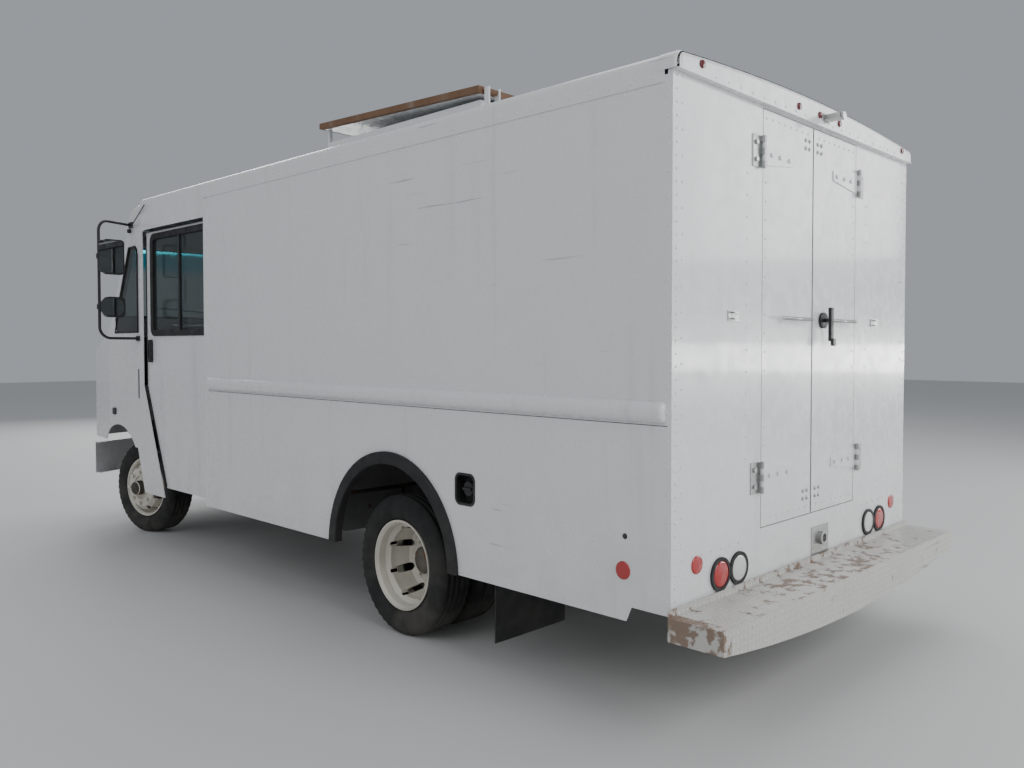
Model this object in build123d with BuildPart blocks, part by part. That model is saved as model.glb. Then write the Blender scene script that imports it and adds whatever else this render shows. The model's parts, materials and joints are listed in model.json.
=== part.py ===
"""Walk-in mail delivery truck: a riveted cargo body and cab on a ladder chassis.

Millimetres. +X is forward, +Y is the driver's (left) side, +Z is up.
The origin is on the ground, under the middle of the truck.
"""
import os
from math import cos, radians, sin

from build123d import *

os.makedirs("parts", exist_ok=True)

# ---------------------------------------------------------------- driving dimensions
body_width = 2438.0        # over the cargo body's side skins
cargo_length = 4300.0      # rear face of the body to the cab's corner post
nose_length = 7250.0       # rear face of the body to the front of the bumper
step_depth = 290.0         # rear step bumper, behind the body
roof_edge_z = 2905.0       # roof height at the sides
roof_crown = 50.0          # rise of the roof from its sides to its middle
skirt_z = 472.0            # lower edge of the body sides
floor_z = 790.0            # top of the cargo floor
cab_width = 2390.0         # over the cab sides
door_plane = 1170.0        # outer face of the sliding doors
skin = 4.0                 # sheet metal thickness
post_depth = 26.0          # wall posts, inside the skins
gap = 4.0                  # shut line round a door
clearance = 0.3            # between curved faces that turn on each other

rear_axle_x = 2000.0       # ahead of the rear face
front_axle_x = 6100.0
tyre_radius = 405.5
tyre_width = 226.0
rim_radius = 247.7         # bead seat of a 19.5 inch rim
dual_spacing = 268.0       # between the middles of a pair of rear tyres
rear_outer_y = 1050.0      # middle of the outer rear tyre
front_tyre_y = 925.0       # middle of a front tyre
kingpin_y = 745.0
steer_rest = 13.0          # the wheels stand turned a little to the left, degrees

half = body_width / 2
cab_half = cab_width / 2
rear_x = step_depth - (nose_length + step_depth) / 2
SIDES = (("left", 1), ("right", -1))


def ahead(distance):
    """X of a point that lies this far ahead of the body's rear face."""
    return rear_x + distance


def block(x, y, z, mode=Mode.ADD):
    """A box between two corners; each of x, y and z is a (low, high) pair."""
    middle = [(low + high) / 2 for low, high in (x, y, z)]
    with Locations(tuple(middle)):
        Box(x[1] - x[0], y[1] - y[0], z[1] - z[0], mode=mode)


def bar(start, end, radius, mode=Mode.ADD):
    """A round bar between two points."""
    span = Vector(*end) - Vector(*start)
    with BuildSketch(Plane(origin=start, z_dir=span)) as section:
        Circle(radius)
    extrude(section.sketch, amount=span.length, mode=mode)


def ring(centre, direction, outer, inner, length):
    """A flat ring that starts at centre and is length thick along direction."""
    with BuildSketch(Plane(origin=centre, z_dir=direction)) as section:
        Circle(outer)
        Circle(inner, mode=Mode.SUBTRACT)
    extrude(section.sketch, amount=length)


def side_plate(outline, y, thickness, mode=Mode.ADD):
    """A plate in the XZ plane, from y towards -Y by thickness."""
    with BuildSketch(Plane.XZ.offset(-y)) as section:
        with BuildLine():
            Polyline(*outline, close=True)
        make_face()
    extrude(section.sketch, amount=thickness, mode=mode)


def pipe(points, bends, radius):
    """A round tube along straight runs joined by bends."""
    with BuildLine() as route:
        FilletPolyline(*points, radius=bends)
    with BuildSketch(Plane(origin=route.line @ 0, z_dir=route.line % 0)) as section:
        Circle(radius)
    sweep(section.sketch, path=route.line)


def mirrored(shape):
    """The same shape on the other side of the truck."""
    return shape.mirror(Plane.XZ)


def finish(piece, name):
    """Label a finished piece and write it."""
    piece.part.label = name
    export_step(piece.part, f"parts/{name}.step")


def finish_pair(left, name):
    """Write a left-hand piece and its mirror image for the right."""
    finish(left, f"{name}_left")
    with BuildPart() as right:
        add(mirrored(left.part))
    finish(right, f"{name}_right")


# ---------------------------------------------------------------- chassis
rail_y = 430.0             # outer face of a frame rail
rail_top = 730.0
rail_height = 200.0
rail_flange = 70.0
rail_wall = 8.0
rail_low = rail_top - rail_height
rail_front_x = nose_length - 200.0

with BuildPart() as chassis_rails:
    for name, sign in SIDES:
        web = sorted((sign * rail_y, sign * (rail_y - rail_wall)))
        flange = sorted((sign * rail_y, sign * (rail_y - rail_flange)))
        span = (ahead(60), ahead(rail_front_x))
        block(span, web, (rail_low, rail_top))
        block(span, flange, (rail_top - rail_wall, rail_top))
        block(span, flange, (rail_low, rail_low + rail_wall))
finish(chassis_rails, "chassis_rails")

door_thick = 30.0
cab_floor_y = door_plane - door_thick - 12   # the floor's edge, clear of the sliding doors
sill_height = 40.0
floor_sheet = 20.0
sill_low = floor_z - floor_sheet - sill_height
wheel_box_half = 572.0     # half the length of a wheel box
wheel_box_inner_y = 600.0
sill_pitch = 430.0
member_x = (120.0, 1150.0, 2750.0, 3900.0, 5000.0, rail_front_x - 32.0)

with BuildPart() as cross_members:
    for x in member_x:
        inside = rail_y - rail_wall
        block((ahead(x - 30), ahead(x + 30)), (-inside, inside), (rail_low + 40, rail_top - 40))
    for number in range(11):
        x = 90 + number * sill_pitch
        near_wheel = abs(x - rear_axle_x) < wheel_box_half + 40
        reach = wheel_box_inner_y - 10 if near_wheel else cab_floor_y - 2
        block((ahead(x - 25), ahead(x + 25)), (-reach, reach), (rail_top, rail_top + sill_height))
finish(cross_members, "cross_members")

axle_z = tyre_radius
axle_tube = 58.0
spindle_radius = 36.0
hub_face_y = rear_outer_y - dual_spacing / 2   # where the two rear discs meet

with BuildPart() as rear_axle_housing:
    tube_end = hub_face_y - 200
    bar((ahead(rear_axle_x), -tube_end, axle_z), (ahead(rear_axle_x), tube_end, axle_z), axle_tube)
    with Locations((ahead(rear_axle_x), 0, axle_z)):
        Sphere(165)
    bar((ahead(rear_axle_x), 0, axle_z + 10), (ahead(rear_axle_x + 260), 0, axle_z + 10), 70)
    for name, sign in SIDES:
        pad = sorted((sign * 440, sign * 520))
        block((ahead(rear_axle_x - 70), ahead(rear_axle_x + 70)), pad, (axle_z + 30, axle_z + 70))
        drum_start = (ahead(rear_axle_x), sign * (tube_end - 10), axle_z)
        drum_end = (ahead(rear_axle_x), sign * (tube_end + 12), axle_z)
        bar(drum_start, drum_end, 175)
        spindle_end = (ahead(rear_axle_x), sign * (hub_face_y - 22), axle_z)
        bar(drum_start, spindle_end, spindle_radius)
finish(rear_axle_housing, "rear_axle_housing")

beam_height = 90.0
beam_z = axle_z - 95.0     # the beam's middle drops under the engine
kingpin_radius = 20.0
eye_radius = 42.0
eye_low = axle_z - 60
eye_high = axle_z + 60

with BuildPart() as front_axle_beam:
    beam_x = (ahead(front_axle_x - 40), ahead(front_axle_x + 40))
    block(beam_x, (-560, 560), (beam_z - beam_height / 2, beam_z + beam_height / 2))
    for name, sign in SIDES:
        rise = [(560, beam_z - 45), (kingpin_y - 30, axle_z - 45), (kingpin_y - 10, axle_z - 45)]
        rise = rise + [(kingpin_y - 10, axle_z + 45), (660, axle_z + 45)]
        rise = rise + [(500, beam_z + 45), (500, beam_z - 45)]
        with BuildSketch(Plane.YZ.offset(beam_x[0])) as rise_section:
            with BuildLine():
                Polyline(*[(sign * y, z) for y, z in rise], close=True)
            make_face()
        extrude(amount=beam_x[1] - beam_x[0])
        eye = (ahead(front_axle_x), sign * kingpin_y, eye_low)
        bar(eye, (eye[0], eye[1], eye_high), eye_radius)
        pad = sorted((sign * 440, sign * 520))
        block(beam_x, pad, (beam_z, axle_z + 40))
    for name, sign in SIDES:
        eye = (ahead(front_axle_x), sign * kingpin_y, eye_low - 1)
        bar(eye, (eye[0], eye[1], eye_high + 1), kingpin_radius + clearance, Mode.SUBTRACT)
finish(front_axle_beam, "front_axle_beam")

leaf_width = 75.0
leaf_thick = 12.0
leaf_y = 480.0
rear_leaves = (1300.0, 1040.0, 780.0, 520.0)
front_leaves = (1150.0, 850.0, 550.0)
hanger_reach = rail_y      # hangers stand on the outer faces of the rails


def leaf_pack(axle_x, lengths, low_z):
    """A stack of leaves on an axle, with its two hangers on each rail."""
    for name, sign in SIDES:
        width = sorted((sign * (leaf_y - leaf_width / 2), sign * (leaf_y + leaf_width / 2)))
        for number, length in enumerate(reversed(lengths)):
            z = low_z + number * leaf_thick
            span = (ahead(axle_x - length / 2), ahead(axle_x + length / 2))
            block(span, width, (z, z + leaf_thick))
        top = low_z + len(lengths) * leaf_thick
        for end in (-1, 1):
            x = axle_x + end * (lengths[0] / 2 - 30)
            foot = sorted((sign * hanger_reach, sign * (leaf_y + leaf_width / 2)))
            block((ahead(x - 30), ahead(x + 30)), foot, (top, top + 110))


with BuildPart() as leaf_springs:
    leaf_pack(rear_axle_x, rear_leaves, axle_z + 70)
    leaf_pack(front_axle_x, front_leaves, axle_z + 40)
finish(leaf_springs, "leaf_springs")

engine_x = (front_axle_x + 120, rail_front_x - 66)

with BuildPart() as engine:
    block((ahead(engine_x[0]), ahead(engine_x[1] - 90)), (-230, 230), (470, 840))
    block((ahead(engine_x[0] + 40), ahead(engine_x[1] - 130)), (-150, 150), (840, 1050))
    block((ahead(engine_x[1] - 90), ahead(engine_x[1] - 50)), (-60, 60), (560, 700))
    block((ahead(engine_x[1] - 50), ahead(engine_x[1])), (-340, 340), (540, 1120))
    for name, sign in SIDES:
        foot = sorted((sign * 230, sign * (rail_y - rail_wall)))
        block((ahead(engine_x[0] + 200), ahead(engine_x[0] + 290)), foot, (590, 650))
finish(engine, "engine")

gearbox_rear_x = 5150.0
shaft_z = axle_z + 10.0    # the propeller shaft runs level into the axle's nose
with BuildPart() as transmission:
    bell = (ahead(engine_x[0]), 0, 560)
    bar(bell, (ahead(engine_x[0] - 250), 0, 560), 185)
    block((ahead(gearbox_rear_x + 60), ahead(engine_x[0] - 240)), (-150, 150), (shaft_z - 70, 700))
    bar((ahead(gearbox_rear_x), 0, shaft_z), (ahead(gearbox_rear_x + 80), 0, shaft_z), 60)
    block((ahead(5320), ahead(5420)), (-(rail_y - rail_wall), rail_y - rail_wall), (555, 600))
finish(transmission, "transmission")

shaft_front = (ahead(gearbox_rear_x - clearance), 0.0, shaft_z)
shaft_rear = (ahead(rear_axle_x + 260 + clearance), 0.0, shaft_z)
with BuildPart() as drive_shaft:
    bar(shaft_front, shaft_rear, 38)
    lean = (Vector(*shaft_rear) - Vector(*shaft_front)).normalized()
    bar(shaft_front, tuple(Vector(*shaft_front) + lean * 110), 55)
    bar(tuple(Vector(*shaft_rear) - lean * 110), shaft_rear, 55)
finish(drive_shaft, "drive_shaft")

tank_x = (2950.0, 3900.0)
with BuildPart() as fuel_tank:
    block((ahead(tank_x[0]), ahead(tank_x[1])), (rail_y + 25, 960), (430, 700))
    fillet(fuel_tank.edges().filter_by(Axis.X), radius=60)
    for x in (tank_x[0] + 150, tank_x[1] - 210):
        block((ahead(x), ahead(x + 60)), (rail_y, 700), (700, 726))
        block((ahead(x), ahead(x + 60)), (rail_y, rail_y + 26), (500, 712))
finish(fuel_tank, "fuel_tank")

with BuildPart() as exhaust:
    bar((ahead(3300), -620, 590), (ahead(4200), -620, 590), 105)
    pipe_z = 590
    bar((ahead(4190), -620, pipe_z), (ahead(5500), -620, pipe_z), 32)
    bar((ahead(2900), -620, pipe_z), (ahead(3310), -620, pipe_z), 32)
    bar((ahead(2900), -640, pipe_z - 70), (ahead(2900), -1120, pipe_z - 70), 32)
    bar((ahead(2900), -620, pipe_z + 5), (ahead(2900), -645, pipe_z - 75), 32)
    for x in (3400, 4100, 5400):
        block((ahead(x), ahead(x + 40)), (-640, -rail_y), (pipe_z + 20, pipe_z + 45))
finish(exhaust, "exhaust")

# ---------------------------------------------------------------- floor with wheel boxes
arch_centre_x = rear_axle_x + 5
arch_centre_z = 455.0
arch_outer = 617.0         # outer edge of the rubber flare
arch_inner = 545.0
skin_arch = 600.0          # opening in the side skin
wheel_box_top = 1112.0
box_outer_y = half - skin - post_depth - 2
step_x = (4420.0, 5130.0)
step_z = 500.0
step_inner_y = 860.0
well_x = (5640.0, 6560.0)  # front wheel housings
well_inner_y = 560.0
well_top = 960.0
floor_front_x = well_x[0]
pocket_x = 3440.0          # the doors slide back this far between wall and floor

with BuildPart() as floor:
    block((ahead(50), ahead(pocket_x)), (-box_outer_y, box_outer_y), (floor_z - floor_sheet, floor_z))
    block((ahead(pocket_x), ahead(floor_front_x)), (-cab_floor_y, cab_floor_y),
          (floor_z - floor_sheet, floor_z))
    for name, sign in SIDES:
        box_y = sorted((sign * wheel_box_inner_y, sign * box_outer_y))
        inner_y = sorted((sign * (wheel_box_inner_y + skin), sign * (box_outer_y + 1)))
        span = (ahead(arch_centre_x - wheel_box_half), ahead(arch_centre_x + wheel_box_half))
        inner = (span[0] + skin, span[1] - skin)
        block(span, box_y, (floor_z - floor_sheet, wheel_box_top))
        block(inner, inner_y, (floor_z - floor_sheet - 1, wheel_box_top - skin), Mode.SUBTRACT)
        step_y = sorted((sign * step_inner_y, sign * (cab_floor_y + 1)))
        block((ahead(step_x[0]), ahead(step_x[1])), step_y, (floor_z - 200, floor_z + 1), Mode.SUBTRACT)
        tread_y = sorted((sign * step_inner_y, sign * cab_floor_y))
        block((ahead(step_x[0]), ahead(step_x[1])), tread_y, (step_z - skin, step_z))
        riser_y = sorted((sign * (step_inner_y - skin), sign * step_inner_y))
        block((ahead(step_x[0]), ahead(step_x[1])), riser_y, (step_z - skin, floor_z))
        end_y = sorted((sign * (step_inner_y - skin), sign * cab_floor_y))
        for x in (step_x[0] - skin, step_x[1]):
            block((ahead(x), ahead(x + skin)), end_y, (step_z - skin, floor_z))
        housing_y = sorted((sign * well_inner_y, sign * (cab_floor_y - 8)))
        hollow_y = sorted((sign * (well_inner_y + skin), sign * cab_floor_y))
        block((ahead(well_x[0]), ahead(well_x[1])), housing_y, (floor_z - floor_sheet, well_top))
        block((ahead(well_x[0] + skin), ahead(well_x[1] + 1)), hollow_y,
              (floor_z - floor_sheet - 1, well_top - skin), Mode.SUBTRACT)
    block((ahead(floor_front_x), ahead(front_axle_x + 60)), (-well_inner_y, well_inner_y),
          (floor_z - floor_sheet, floor_z))
    block((ahead(front_axle_x + 56), ahead(front_axle_x + 60)), (-well_inner_y, well_inner_y),
          (floor_z, 1326))
finish(floor, "floor")

# ---------------------------------------------------------------- cargo body
notch_z = 538.0            # the side skin is cut up above the rear step
notch_length = 243.0
seam_z = 2772.0            # the roof's side band laps over the side skin here
filler = (1333.0, 930.0)   # fuel filler's middle, ahead of the rear face and up
filler_size = (161.0, 170.0)
post_pitch = 524.0
post_x = cargo_length + 50.0   # front face of the cab's corner posts

side_outline = [(ahead(0), notch_z), (ahead(notch_length - 30), notch_z), (ahead(notch_length), skirt_z),
                (ahead(cargo_length), skirt_z), (ahead(cargo_length), seam_z + 30), (ahead(0), seam_z + 30)]

for name, sign in SIDES:
    with BuildPart() as side_panel:
        side_plate(side_outline, half, skin)
        with BuildSketch(Plane.XZ.offset(-half)):
            with Locations((ahead(arch_centre_x), arch_centre_z)):
                Circle(skin_arch)
        extrude(amount=skin, mode=Mode.SUBTRACT)
        for number in range(9):
            x = 60 + number * post_pitch
            over_wheel = abs(x - arch_centre_x) < wheel_box_half + 60
            low = wheel_box_top + 10 if over_wheel else floor_z - 90
            block((ahead(x - 30), ahead(x + 30)), (half - skin - post_depth, half - skin), (low, seam_z + 20))
        post_span = (ahead(cargo_length - 4), ahead(post_x))
        block(post_span, (half - skin - post_depth, half + 2), (skirt_z, seam_z - 2))
        if name == "left":
            with BuildSketch(Plane.XZ.offset(-half)):
                with Locations((ahead(filler[0]), filler[1])):
                    RectangleRounded(filler_size[0] - 12, filler_size[1] - 12, 34)
            extrude(amount=skin, mode=Mode.SUBTRACT)
        if sign < 0:
            mirror(about=Plane.XZ, mode=Mode.REPLACE)
    finish(side_panel, f"side_panel_{name}")

rail_mid_z = 1395.0
rail_bead = (32.0, 46.0)   # how far the rub rail stands out, and half its height
with BuildPart() as rub_rails:
    with BuildSketch(Plane.YZ.offset(ahead(28))):
        with Locations((half, rail_mid_z)):
            Ellipse(*rail_bead)
            with Locations((-rail_bead[0], 0)):
                Rectangle(rail_bead[0] * 2, rail_bead[1] * 2.2, mode=Mode.SUBTRACT)
    extrude(amount=cargo_length - 34)
    fillet(rub_rails.faces().sort_by(Axis.X)[-1].edges().filter_by(GeomType.ELLIPSE), radius=18)
    fillet(rub_rails.faces().sort_by(Axis.X)[0].edges().filter_by(GeomType.ELLIPSE), radius=18)
    mirror(about=Plane.XZ)
finish(rub_rails, "rub_rails")

roof_radius = 45.0
roof_lap = skin + 0.3      # the roof's side band laps over the skin
roof_front_x = 5520.0      # the roof runs on over the cab doors
roof_header_z = 2632.0     # where its side bands come down to, over the doors


def roof_section(plane, grow, low_z):
    """The roof's cross-section: side bands, round shoulders and a crowned top."""
    side = half + grow
    edge = roof_edge_z + grow - roof_radius / 3
    with BuildSketch(plane) as section:
        with BuildLine():
            Line((side, low_z), (side, edge))
            ThreePointArc((side, edge), (0, edge + roof_crown), (-side, edge))
            Line((-side, edge), (-side, low_z))
            Line((-side, low_z), (side, low_z))
        make_face()
        fillet(section.vertices().sort_by(Axis.Y)[-2:], radius=roof_radius)
    return section.sketch


def roof_surface(y):
    """Height of the roof's outer face at this distance from the middle."""
    return roof_edge_z + roof_lap - roof_radius / 3 + roof_crown * (1 - (y / half) ** 2) + clearance


hatch_x = (1480.0, 2960.0)  # roof opening under the lid
hatch_y = (420.0, 980.0)
curb_height = 55.0
curb_top = roof_edge_z + 48 + curb_height
curb_wall = 25.0

with BuildPart() as roof:
    extrude(roof_section(Plane.YZ.offset(ahead(42)), roof_lap, seam_z), amount=roof_front_x - 42)
    over_door = Plane.YZ.offset(ahead(post_x + 2))
    extrude(roof_section(over_door, roof_lap, roof_header_z), amount=roof_front_x - post_x - 2)
    extrude(roof_section(Plane.YZ.offset(ahead(41)), roof_lap - skin, roof_header_z - 1),
            amount=roof_front_x - 40, mode=Mode.SUBTRACT)
    for number in range(11):
        x = 60 + number * post_pitch
        bow_plane = Plane.YZ.offset(ahead(x - 20))
        extrude(roof_section(bow_plane, roof_lap - skin, seam_z + 60), amount=40)
        extrude(roof_section(bow_plane, roof_lap - skin - post_depth, seam_z), amount=40, mode=Mode.SUBTRACT)
    curb = ((ahead(hatch_x[0] - curb_wall), ahead(hatch_x[1] + curb_wall)),
            (hatch_y[0] - curb_wall, hatch_y[1] + curb_wall), (roof_edge_z - 20, curb_top))
    block(*curb)
    hatch_span = (ahead(hatch_x[0]), ahead(hatch_x[1]))
    block(hatch_span, hatch_y, (roof_edge_z - 60, roof_edge_z + 200), Mode.SUBTRACT)
finish(roof, "roof")

door_half = 500.0          # half the width of the rear doorway
door_low = 805.0
door_high = 2805.0
door_depth = 38.0
rear_panel_low = 540.0
header_low = 2822.0
rear_top = header_low + 8

with BuildPart() as rear_wall:
    rear_half = half - skin
    block((ahead(0), ahead(skin)), (-rear_half, rear_half), (rear_panel_low, rear_top))
    for name, sign in SIDES:
        jamb = sorted((sign * (door_half + gap), sign * (door_half + gap + 70)))
        corner = sorted((sign * (rear_half - post_depth), sign * rear_half))
        block((ahead(skin), ahead(skin + 45)), jamb, (door_low - gap, rear_top))
        block((ahead(skin), ahead(28)), corner, (rear_panel_low, rear_top))
    sill = (rear_panel_low + 40, floor_z - floor_sheet - 2)
    block((ahead(skin), ahead(skin + 24)), (-rear_half, rear_half), sill)
    doorway_y = (-(door_half + gap), door_half + gap)
    block((ahead(-1), ahead(60)), doorway_y, (door_low - gap, door_high + gap), Mode.SUBTRACT)
finish(rear_wall, "rear_wall")

header_out = 34.0
with BuildPart() as rear_header:
    outside_section = roof_section(Plane.YZ.offset(ahead(-header_out)), roof_lap + 2, header_low)
    extrude(outside_section, amount=header_out + 74)
    rear_edges = rear_header.faces().sort_by(Axis.X)[0].edges()
    fillet(rear_edges.filter_by(lambda edge: edge.center().Z > header_low + 5), radius=26)
    inside_plane = Plane.YZ.offset(ahead(-header_out + skin))
    inside_section = roof_section(inside_plane, roof_lap + 2 - skin, header_low - 1)
    extrude(inside_section, amount=header_out - skin, mode=Mode.SUBTRACT)
    wall_section = roof_section(Plane.YZ.offset(ahead(-1)), roof_lap + 0.5, header_low - 1)
    extrude(wall_section, amount=80, mode=Mode.SUBTRACT)
    block((ahead(-header_out), ahead(0)), (-half, half), (header_low - 4, header_low))
finish(rear_header, "rear_header")

# ---------------------------------------------------------------- rear doors
pin_x = -18.0              # hinge pins stand behind the rear face
pin_y = 520.0
hinge_z = (975.0, 2520.0)  # lower ends of the two hinges
hinge_height = 150.0
knuckle_radius = 11.0
pin_radius = 6.0
leaf_sheet = 6.0
strap_length = 300.0
bar_z = 1815.0
bar_radius = 8.0
bar_stand = 34.0           # grab bars stand this far off the doors


def knuckles(first, count):
    """Every other barrel of a five-knuckle hinge, bored for its pin."""
    for low in hinge_z:
        for number in range(first, 5, 2):
            z = low + number * hinge_height / 5 + 0.5
            start = (ahead(pin_x), pin_y, z)
            bar(start, (start[0], start[1], z + hinge_height / 5 - 1), knuckle_radius)


for name, sign in SIDES:
    with BuildPart() as rear_door:
        block((ahead(0), ahead(door_depth)), (gap / 2, door_half), (door_low, door_high))
        hollow_x = (ahead(skin), ahead(door_depth - skin))
        block(hollow_x, (gap / 2 + 40, door_half - 40), (door_low + 40, door_high - 40),
              Mode.SUBTRACT)
        for low in hinge_z:
            tip_y = pin_y - strap_length
            strap = [(pin_y - 0.3, low + 15), (pin_y - 0.3, low + hinge_height - 15),
                     (pin_y - 60, low + hinge_height - 20),
                     (tip_y, low + 100), (tip_y, low + 50), (pin_y - 60, low + 20)]
            with BuildSketch(Plane.YZ.offset(ahead(-leaf_sheet))) as strap_face:
                with BuildLine():
                    Polyline(*strap, close=True)
                make_face()
            extrude(amount=leaf_sheet)
            for reach in (90, 170, 260):
                bolt = (ahead(-leaf_sheet - 8), pin_y - reach, low + hinge_height / 2)
                bar(bolt, (ahead(0), bolt[1], bolt[2]), 11)
            web = (ahead(pin_x), ahead(0))
            for number in (1, 3):
                z = low + number * hinge_height / 5 + 0.5
                block(web, (pin_y - 12, pin_y - 0.3), (z, z + hinge_height / 5 - 1))
        knuckles(1, 2)
        grab = (60.0, 360.0) if name == "left" else (168.0, 447.0)
        bar((ahead(-bar_stand), grab[0], bar_z), (ahead(-bar_stand), grab[1], bar_z), bar_radius)
        for reach in (grab[0] + 20, grab[1] - 60):
            block((ahead(-bar_stand), ahead(0)), (reach - 7, reach + 7), (bar_z - 7, bar_z + 7))
        for low in hinge_z:
            start = (ahead(pin_x), pin_y, low - 3)
            bar(start, (start[0], start[1], low + hinge_height + 3), pin_radius + clearance, Mode.SUBTRACT)
            for number in (0, 2, 4):
                z = low + number * hinge_height / 5 - 0.5
                block((ahead(pin_x - 13), ahead(1)), (pin_y - 14, pin_y + 14), (z, z + hinge_height / 5 + 1),
                      Mode.SUBTRACT)
        if sign < 0:
            bar((ahead(-2), 110, bar_z), (ahead(door_depth + 1), 110, bar_z), 10 + clearance, Mode.SUBTRACT)
            mirror(about=Plane.XZ, mode=Mode.REPLACE)
    finish(rear_door, f"rear_door_{name}")

handle_y = -110.0
with BuildPart() as latch_handle:
    bar((ahead(-60), handle_y, bar_z), (ahead(door_depth + 14), handle_y, bar_z), 10)
    bar((ahead(-16), handle_y, bar_z), (ahead(-4), handle_y, bar_z), 42)
    block((ahead(-62), ahead(-44)), (handle_y - 14, handle_y + 14), (bar_z - 110, bar_z + 66))
    block((ahead(-76), ahead(-58)), (handle_y - 14, handle_y + 14), (bar_z - 136, bar_z - 96))
    block((ahead(door_depth + 4), ahead(door_depth + 12)), (handle_y - 16, -8), (bar_z - 16, bar_z + 16))
finish(latch_handle, "latch_handle")

with BuildPart() as hinge_leaves:
    knuckles(0, 3)
    for low in hinge_z:
        block((ahead(-leaf_sheet), ahead(0)), (pin_y + 14, pin_y + 78), (low, low + hinge_height))
        for number in (0, 2, 4):
            z = low + number * hinge_height / 5 + 0.5
            block((ahead(pin_x), ahead(0)), (pin_y - 5, pin_y + 16), (z, z + hinge_height / 5 - 1))
        for height in (35, 115):
            bolt = (ahead(-leaf_sheet - 8), pin_y + 50, low + height)
            bar(bolt, (ahead(0), bolt[1], bolt[2]), 11)
        for number in (0, 2, 4):
            z = low + number * hinge_height / 5
            bar((ahead(pin_x), pin_y, z), (ahead(pin_x), pin_y, z + hinge_height / 5), pin_radius)
        bar((ahead(pin_x), pin_y, low - 3), (ahead(pin_x), pin_y, low + hinge_height + 3), pin_radius)
    mirror(about=Plane.XZ)
finish(hinge_leaves, "hinge_leaves")

# ---------------------------------------------------------------- lamps and rear fittings
stop_lamp_y = 852.0
back_lamp_y = 700.0
tail_lamp_z = 650.0
lens_radius = 60.0
grommet_radius = 76.0
reflector_radius = 40.5
marker_z = 2868.0
marker_y = (-1060.0, -220.0, 0.0, 220.0, 1060.0)

with BuildPart() as lamp_lenses:
    for name, sign in SIDES:
        for y in (stop_lamp_y, back_lamp_y):
            bar((ahead(-13), sign * y, tail_lamp_z), (ahead(0), sign * y, tail_lamp_z), lens_radius)
        bar((ahead(-6), sign * 1032, 725), (ahead(0), sign * 1032, 725), reflector_radius)
        bar((ahead(260), sign * (half + 6), 693), (ahead(260), sign * half, 693), reflector_radius)
    for y in marker_y:
        bar((ahead(-header_out - 9), y, marker_z), (ahead(-header_out), y, marker_z), 18)
finish(lamp_lenses, "lamp_lenses")

with BuildPart() as lamp_grommets:
    for name, sign in SIDES:
        for y in (stop_lamp_y, back_lamp_y):
            ring((ahead(-11), sign * y, tail_lamp_z), (1, 0, 0), grommet_radius, lens_radius, 11)
finish(lamp_grommets, "lamp_grommets")

holdback_y = 755.0
camera_y = -72.0
with BuildPart() as rear_fittings:
    for name, sign in SIDES:
        foot = sorted((sign * (holdback_y - 45), sign * (holdback_y + 45)))
        block((ahead(-5), ahead(0)), foot, (bar_z - 24, bar_z + 24))
        for height in (-17, 11):
            jaw = (bar_z + height, bar_z + height + 6)
            block((ahead(-24), ahead(-5)), (sign * holdback_y - 22, sign * holdback_y + 22), jaw)
    block((ahead(-4), ahead(0)), (-198, -10), (570, 725))
    ring((ahead(-26), -112, 657), (1, 0, 0), 36, 22, 22)
    block((ahead(-header_out - 6), ahead(-header_out)), (camera_y - 40, camera_y + 40), (2846, 2886))
    block((ahead(-header_out - 90), ahead(-header_out - 6)), (camera_y - 30, camera_y + 30), (2852, 2880))
    bar((ahead(-header_out - 104), camera_y, 2866), (ahead(-header_out - 90), camera_y, 2866), 20)
finish(rear_fittings, "rear_fittings")

# ---------------------------------------------------------------- rear step
step_half = 1258.0
step_top = 548.0
step_end_face = 100.0      # depth of the outer face at the ends
step_mid_face = 190.0      # and in the middle
step_sheet = 5.0

with BuildPart() as step_bumper:
    block((ahead(-step_depth), ahead(-14)), (-step_half, step_half), (step_top - step_sheet, step_top))
    with BuildSketch(Plane.YZ.offset(ahead(-step_depth))):
        with BuildLine():
            Polyline((-step_half, step_top), (-step_half, step_top - step_end_face))
            ThreePointArc((-step_half, step_top - step_end_face), (0, step_top - step_mid_face),
                          (step_half, step_top - step_end_face))
            Polyline((step_half, step_top - step_end_face), (step_half, step_top), (-step_half, step_top))
        make_face()
    extrude(amount=step_sheet)
    for name, sign in SIDES:
        end = sorted((sign * step_half, sign * (step_half - step_sheet)))
        block((ahead(-step_depth), ahead(-14)), end, (step_top - step_end_face, step_top))
        arm = sorted((sign * rail_y, sign * (rail_y + 12)))
        block((ahead(-step_depth + step_sheet), ahead(420)), arm, (step_top - 110, rear_panel_low - 3))
    block((ahead(-14 - step_sheet), ahead(-14)), (-step_half, step_half), (step_top, step_top + 30))
finish(step_bumper, "step_bumper")

# ---------------------------------------------------------------- arches, flaps, filler
flare_out = 20.0
with BuildPart() as arch_flares:
    with BuildSketch(Plane.XZ.offset(-(half + flare_out))):
        with Locations((ahead(arch_centre_x), arch_centre_z)):
            Circle(arch_outer)
            Circle(arch_inner, mode=Mode.SUBTRACT)
            with Locations((0, skirt_z - arch_centre_z - arch_outer)):
                Rectangle(arch_outer * 3, arch_outer * 2, mode=Mode.SUBTRACT)
    extrude(amount=flare_out - 0.3)
    with BuildSketch(Plane.XZ.offset(-(half + 1))):
        with Locations((ahead(arch_centre_x), arch_centre_z)):
            Circle(skin_arch - 1)
            Circle(arch_inner, mode=Mode.SUBTRACT)
            with Locations((0, skirt_z - arch_centre_z - arch_outer)):
                Rectangle(arch_outer * 3, arch_outer * 2, mode=Mode.SUBTRACT)
    extrude(amount=32)
    fillet(arch_flares.faces().sort_by(Axis.Y)[-1].edges().filter_by(GeomType.CIRCLE), radius=7)
    mirror(about=Plane.XZ)
finish(arch_flares, "arch_flares")

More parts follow.
